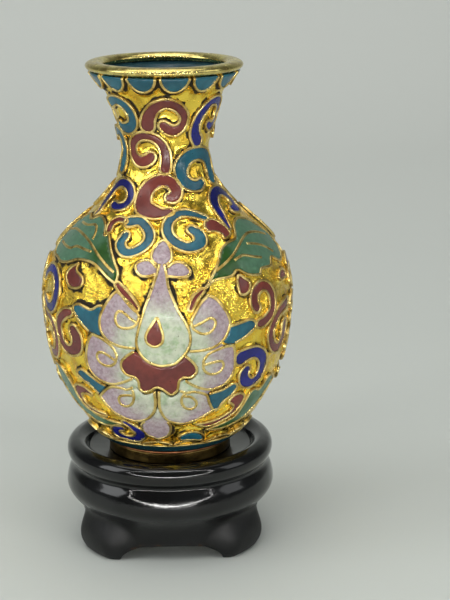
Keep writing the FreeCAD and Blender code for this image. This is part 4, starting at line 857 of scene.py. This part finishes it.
def build_border():
    """The teal band round the bottom edge, with a line of wire and small arches over it."""
    heights = np.linspace(17.95, 19.25, 6)
    outer = [section(z, 0.03) for z in heights]
    inner = [section(z, RELIEF) for z in heights[::-1]]
    outline = [(float(r), float(z)) for r, z in outer + inner]
    # its enamel is teal painted darker, as shade
    lathe("look_border_enamel", outline, 240, "border", ["border_enamel"])
    pitch = 360.0 / ARCHES
    arch_turns = np.linspace(-0.47 * pitch, 0.47 * pitch, 9)
    arch = [(t, 19.6 + 0.8 * math.cos(math.pi * t / pitch)) for t in arch_turns]
    line = [(t, 19.36) for t in np.linspace(-0.5 * pitch, 0.5 * pitch, 5)]
    wires("border_wires", [(smooth(arch), False), (smooth(line), False)],
          turns=[pitch * n - 9 for n in range(ARCHES)])


def build_decoration():
    build_lappets()
    build_border()
    wires("neck_wires", build_bands(NECK_BANDS))
    wires("shoulder_wires", build_bands(SHOULDER_BANDS))
    wires("side_wires", build_bands(SIDE_BANDS))
    low_rows = build_bands(LOW_BANDS)
    hook, hook_rows = cell(LOW_HOOK)
    enamel("low_maroon", [hook], "maroon", name="low_hook")
    wires("low_wires", low_rows + [(row, False) for row in hook_rows])
    build_cells(PETALS + INFILLS, "petal", "petal", BROAD_WIRE)
    wires("petal_curls", [(smooth(row), False) for row in CURLS], width=BROAD_WIRE)
    build_lotus_core()
    build_cells(BUD, "bud", "petal")
    build_cells(FINGERS, "finger", "teal")
    build_cells(LEAVES, "leaf", "leaf")
    wires("leaf_veins", [(smooth(row), False) for row in VEINS], width=BROAD_WIRE)
    build_cells(LOW_LEAVES, "low_leaf", "leaf")
    build_cells(COMMAS, "comma", "maroon")


# ------------------------------------------------------------------ the vase's metal
def build_ground(columns=620, step=0.2):
    """The gilded copper wall. Its outside sinks into hollows away from the wires."""
    shallow, hollow_depth, wire_root = 0.22, 0.36, 0.4
    every_wire = np.concatenate(ALL_WIRES)[::2]
    tree = kdtree.KDTree(len(every_wire))
    for i, p in enumerate(every_wire):
        tree.insert(p, i)
    tree.balance()
    turns = np.linspace(-math.pi, math.pi, columns, endpoint=False)
    heights = np.arange(17.5, SHELL_TOP, step)
    points, grime = [], []
    for z in heights:
        flat = np.stack([turns, np.full(columns, z)], 1)
        surface, out = on_side(flat), normals(flat)
        for p, n in zip(surface, out):
            away = tree.find(Vector(p - n * wire_root))[2]
            hollow = min(1.0, max(0.0, (away - 0.15) / 0.95))
            hollow = hollow * hollow * (3 - 2 * hollow)
            dent = 0.12 * noise.noise(Vector(p) * 0.7) + 0.04 * noise.noise(Vector(p) * 1.9)
            points.append(p - n * (shallow + hollow_depth * hollow + dent))
            # closeness to a wire: the ground's material paints shade and grime with it
            grime.append(min(1.0, max(0.0, 1.0 - (away - 0.2) / 0.9)))
    inner = [section(z, RELIEF + COPPER) for z in np.arange(SHELL_TOP, 17.6, -1.5)]
    for r, z in inner:
        points += [np.array([r * math.sin(t), -r * math.cos(t), z]) for t in turns]
    rows = len(heights) + len(inner)
    grime += [0.0] * (len(inner) * columns)
    piece("look_copper_body", points, grid_faces(rows, columns, True), "ground", "vase", ["copper_body"],
          values={"grime": grime})


def build_turned():
    """The lip, the foot ring and its solder line, the bottom and the enamel lining."""
    lip_turns = np.linspace(0, 2 * math.pi, 28)[:-1]
    lip = [(LIP_R + LIP_A * math.cos(t), LIP_Z + LIP_B * math.sin(t)) for t in lip_turns]
    lathe("look_mouth_rim", lip, 240, "lip", ["mouth_rim"])
    ring = [(FOOT_IN, SEAT_Z), (FOOT_OUT, SEAT_Z), (FOOT_OUT, FOOT_TOP), (FOOT_IN, FOOT_TOP)]
    lathe("look_foot_ring", rounded(ring, 0.2), 200, "foot", ["foot_ring"])
    seam = [(FOOT_IN, FOOT_TOP), (FOOT_OUT + 0.12, FOOT_TOP), (FOOT_OUT + 0.12, FOOT_TOP + 0.3),
            (FOOT_IN, FOOT_TOP + 0.3)]
    lathe("look_foot_seam", rounded(seam, 0.12), 200, "seam", ["foot_seam"])
    disc = [(0.0, 17.57), (9.76, 17.57), (9.9, 17.72), (9.36, 18.46), (0.0, 18.46)]
    lathe("look_base_disc", disc, 120, "copper", ["base_disc"])
    under = [(0.0, 17.2), (8.5, 17.2), (8.5, 17.55), (0.0, 17.55)]
    lathe("look_base_enamel", rounded(under, 0.1), 120, "lining", ["base_enamel"])
    deep = RELIEF + COPPER + 0.02
    heights = np.concatenate([np.arange(18.6, SHELL_TOP, 1.2), [SHELL_TOP]])
    outer = [tuple(map(float, section(z, deep))) for z in heights]
    inner = [tuple(map(float, section(z, deep + LINING))) for z in heights[::-1]]
    lathe("look_inner_enamel", [(0.0, 18.5)] + outer + inner + [(0.0, 18.9)], 160, "lining", ["inner_enamel"])


# ------------------------------------------------------------------ the stand
STAND_SIDE = [(12.6, 0.0), (12.75, 1.3), (13.0, 2.6), (13.35, 4.0), (14.0, 5.5), (14.95, 6.9), (16.1, 8.2),
              (16.84, 9.6), (16.75, 11.2), (16.35, 12.4), (15.9, 13.2), (15.85, 13.55), (16.15, 14.0),
              (16.6, 14.8), (16.72, 15.6), (16.5, 16.4), (15.9, 17.0), (14.9, 17.3)]
FOOT_TURN, FOOT_SPREAD = 54.0, 10.0      # a foot's middle and half its even stretch, in degrees
FOOT_R, FOOT_Z = 10.9, 2.8               # middle of a foot's bulge
FOOT_A, FOOT_B, FOOT_C = 5.1, 3.8, 4.7   # its half sizes: outwards, along the rim, upwards
CREASE = 2.4                             # softness of the crease over a foot
ARCH_FRONT, ARCH_BESIDE = 8.4, 7.0       # half widths of the openings between the feet
ARCH_TOP = 2.7                           # their height
FOOT_REACH = 8.0                         # the rows of the mesh bend towards the arches below this height


def foot_radius(turn, z):
    """How far a foot's bulge reaches from the axis, this many degrees from the foot's middle."""
    past = np.radians(np.maximum(np.abs(turn) - FOOT_SPREAD, 0.0))
    a = np.cos(past)**2 / FOOT_A**2 + np.sin(past)**2 / FOOT_B**2
    b = -2 * FOOT_R * np.cos(past) / FOOT_A**2
    c = FOOT_R**2 / FOOT_A**2 + (z - FOOT_Z)**2 / FOOT_C**2 - 1
    inner = b * b - 4 * a * c
    return np.where((inner > 0) & (past < 1.0), (-b + np.sqrt(np.maximum(inner, 0.0))) / (2 * a), 0.0)


def arch_height(r, turn):
    """The underside's height at this radius, this many degrees from the stand's front or back."""
    across = np.abs(r * np.sin(np.radians(turn))) / ARCH_FRONT
    beside = np.abs(r * np.cos(np.radians(turn))) / ARCH_BESIDE
    return ARCH_TOP * np.sqrt(np.maximum(1 - np.minimum(across, beside)**2, 0.0))


def build_stand(columns=540, rows_up=96):
    """One carved piece: a recess, two fat beads and four fat feet with arches between."""
    radii, heights = zip(*STAND_SIDE)
    run = np.concatenate([[0.0], np.cumsum(np.hypot(np.diff(radii), np.diff(heights)))])
    fine = np.linspace(0, run[-1], 1200)
    fine_r, fine_z = natural_spline(run, radii, fine), natural_spline(run, heights, fine)
    turns = np.linspace(-180, 180, columns, endpoint=False)
    side = np.minimum(np.abs(turns), 180 - np.abs(turns))

    def outer(z):
        body = np.interp(z, fine_z, fine_r)
        foot = foot_radius(side - FOOT_TURN, z)
        blend = np.maximum(CREASE - np.abs(body - foot), 0.0) / CREASE
        return np.maximum(body, foot) + blend**2 * CREASE / 4

    low = np.zeros(columns)
    for _ in range(12):
        low = 0.5 * low + 0.5 * arch_height(outer(low), side)
    rows, edge = [], []

    def ring(r, z, share=0.0):
        r, z = np.broadcast_to(r, columns), np.broadcast_to(z, columns)
        angle = np.radians(turns)
        rows.append(np.stack([r * np.sin(angle), -r * np.cos(angle), z], 1))
        edge.append(np.broadcast_to(share, columns))

    for r, z in [(0.0, RECESS_Z), (9.0, RECESS_Z), (RECESS_R - 0.25, RECESS_Z),
                 (RECESS_R - 0.05, RECESS_Z + 0.1), (RECESS_R + 0.02, RECESS_Z + 0.4), (13.5, 16.5),
                 (13.9, 16.88), (14.4, 17.18), (14.9, 17.3)]:
        ring(r, z)
    for z0 in np.linspace(17.28, 0.0, rows_up):
        bent = FOOT_REACH - (FOOT_REACH - low) * (FOOT_REACH - z0) / FOOT_REACH
        z = np.full(columns, z0) if z0 > FOOT_REACH else bent
        near = np.clip(1.0 - (z - low) / 0.7, 0.0, 1.0)
        ring(outer(z) - 0.22 * near**2, z, near)
    edge_r = np.hypot(rows[-1][:, 0], rows[-1][:, 1])
    ring(edge_r - 0.25, low, 0.8)
    for share in (0.25, 0.5, 0.75, 1.0):
        r = edge_r + (UNDER_R + 0.2 - edge_r) * share
        ring(r, arch_height(r, side), 0.3)
    ring(UNDER_R, arch_height(UNDER_R, side) + 0.2)
    ring(UNDER_R - 0.02, UNDER_Z - 0.4)
    ring(UNDER_R - 0.4, UNDER_Z)
    ring(0.0, UNDER_Z)
    piece("look_stand", np.concatenate(rows), grid_faces(len(rows), columns, False), "lacquer", "stand",
          ["stand"], values={"edge": np.concatenate(edge)})


# ------------------------------------------------------------------ camera, floor and light
CAMERA_PLACE = (0.0, -248.91, 106.57)
CAMERA_YAW, CAMERA_PITCH, CAMERA_ROLL = 2.107, 15.059, -0.345
CAMERA_LENS = 96.56      # millimetres, for a picture 36 mm wide


def build_camera():
    yaw, pitch, roll = (math.radians(v) for v in (CAMERA_YAW, CAMERA_PITCH, CAMERA_ROLL))
    right = Vector((math.cos(yaw), -math.sin(yaw), 0.0))
    up = Vector((math.sin(pitch) * math.sin(yaw), math.sin(pitch) * math.cos(yaw), math.cos(pitch)))
    ahead = Vector((math.cos(pitch) * math.sin(yaw), math.cos(pitch) * math.cos(yaw), -math.sin(pitch)))
    right, up = math.cos(roll) * right + math.sin(roll) * up, math.cos(roll) * up - math.sin(roll) * right
    data = bpy.data.cameras.new("camera")
    data.lens = CAMERA_LENS
    data.sensor_width = 36.0
    data.clip_start, data.clip_end = 0.01, 20.0
    camera = bpy.data.objects.new("camera", data)
    turn = Matrix((right, up, -ahead)).transposed().to_4x4()
    camera.matrix_world = Matrix.Translation(Vector(CAMERA_PLACE) * MM) @ turn
    bpy.context.collection.objects.link(camera)
    bpy.context.scene.camera = camera


def build_floor():
    """A pale sweep: a floor that curves up into the background, with painted shade that makes it darker in
    front of the stand, so the metal reflects a dark floor, and painted light that makes it paler towards the
    back and up the backdrop.
    """
    line = [(-1.6, 0.0), (-0.6, 0.0), (0.35, 0.0)]
    line += [(0.35 + 0.5 * math.sin(t), 0.5 - 0.5 * math.cos(t)) for t in np.linspace(0.1, math.pi / 2, 14)]
    line += [(0.85, 2.2)]
    points = [(x, y, z) for y, z in line for x in (-2.2, 2.2)]
    faces = [(2 * i, 2 * i + 1, 2 * i + 3, 2 * i + 2) for i in range(len(line) - 1)]
    mesh = bpy.data.meshes.new("sweep")
    mesh.from_pydata(points, [], faces)
    mesh.polygons.foreach_set("use_smooth", [True] * len(faces))
    m = Nodes("pale paper")
    depth = m.node("SeparateXYZ", {"Vector": m.place()}).outputs[1]
    # painted shade: dark in front of the stand
    near = m.mix(m.ramp(depth, -0.36, -0.09), srgb("484b49"), srgb("c4c9c4"))
    # painted light: paler towards the back and up the backdrop
    colour = m.mix(m.ramp(depth, 0.0, 0.6), near, srgb("e6eae5"))
    m.set(Base_Color=colour, Roughness=0.6, Specular_IOR_Level=0.25)
    mesh.materials.append(m.material)
    floor = bpy.data.objects.new("sweep", mesh)
    bpy.context.collection.objects.link(floor)


LAMP_AIM = (0.0, 0.0, 0.04)
WARM, COOL = (1.0, 0.99, 0.97), (0.97, 0.99, 1.0)


def softbox(name, place, size, power, colour):
    """A soft lamp at a place, in metres, that looks at the middle of the object."""
    data = bpy.data.lights.new(name, "AREA")
    data.shape = "RECTANGLE"
    data.size, data.size_y = size
    data.energy = power
    data.color = colour
    lamp = bpy.data.objects.new(name, data)
    ahead = (Vector(LAMP_AIM) - Vector(place)).normalized()
    facing = ahead.to_track_quat("-Z", "Y").to_matrix().to_4x4()
    lamp.matrix_world = Matrix.Translation(Vector(place)) @ facing
    lamp.visible_camera = False
    bpy.context.collection.objects.link(lamp)


LOOP_LIFT = 0.075                        # the loop hangs this many metres over the camera
LOOP_ACROSS, LOOP_UP = 0.25, 0.17        # its half width and half height, in metres
LOOP_LAMPS, LOOP_POWER = 24, 270.0       # its number of lamps, and their watts for a square metre
LOOP_THIN, LOOP_THICK = 0.0018, 0.0040   # a lamp's width at the sides, and how much it gains up and down


def build_loop_light():
    """A loop of lamps round the camera: its reflection draws the bright outlines on the lacquer."""
    centre, middle = Vector(CAMERA_PLACE) * MM, Vector((0.0, 0.0, 0.035))
    ahead = (middle - centre).normalized()
    right = ahead.cross(Vector((0, 0, 1))).normalized()
    up = right.cross(ahead)
    for n in range(LOOP_LAMPS):
        turn = 2 * math.pi * n / LOOP_LAMPS
        spoke = right * (LOOP_ACROSS * math.cos(turn)) + up * (LOOP_UP * math.sin(turn))
        along = up * (LOOP_UP * math.cos(turn)) - right * (LOOP_ACROSS * math.sin(turn))
        width = LOOP_THIN + LOOP_THICK * abs(math.sin(turn))**3
        data = bpy.data.lights.new("loop lamp", "AREA")
        data.shape = "RECTANGLE"
        data.size, data.size_y = along.length * 2 * math.pi / LOOP_LAMPS, width
        data.energy = LOOP_POWER * data.size * width
        data.color = WARM
        lamp = bpy.data.objects.new("loop lamp", data)
        along.normalize()
        axes = Matrix((along, -ahead.cross(along), -ahead)).transposed().to_4x4()
        lamp.matrix_world = Matrix.Translation(centre + up * LOOP_LIFT + spoke) @ axes
        lamp.visible_camera = False
        bpy.context.collection.objects.link(lamp)


def build_light():
    build_loop_light()
    softbox("overhead", (-0.05, 0.05, 0.85), (0.8, 0.7), 3.3, WARM)
    softbox("window left", (-0.75, -0.25, 0.45), (0.4, 0.6), 2.3, COOL)
    softbox("window right", (0.75, -0.2, 0.4), (0.35, 0.5), 0.75, COOL)
    world = bpy.data.worlds.new("studio")
    bpy.context.scene.world = world
    world.use_nodes = True
    background = world.node_tree.nodes["Background"]
    background.inputs["Color"].default_value = (0.56, 0.58, 0.57, 1.0)
    background.inputs["Strength"].default_value = 0.2
    bpy.context.scene.view_settings.view_transform = "Standard"


build_decoration()
build_ground()
build_turned()
build_stand()
build_camera()
build_floor()
build_light()
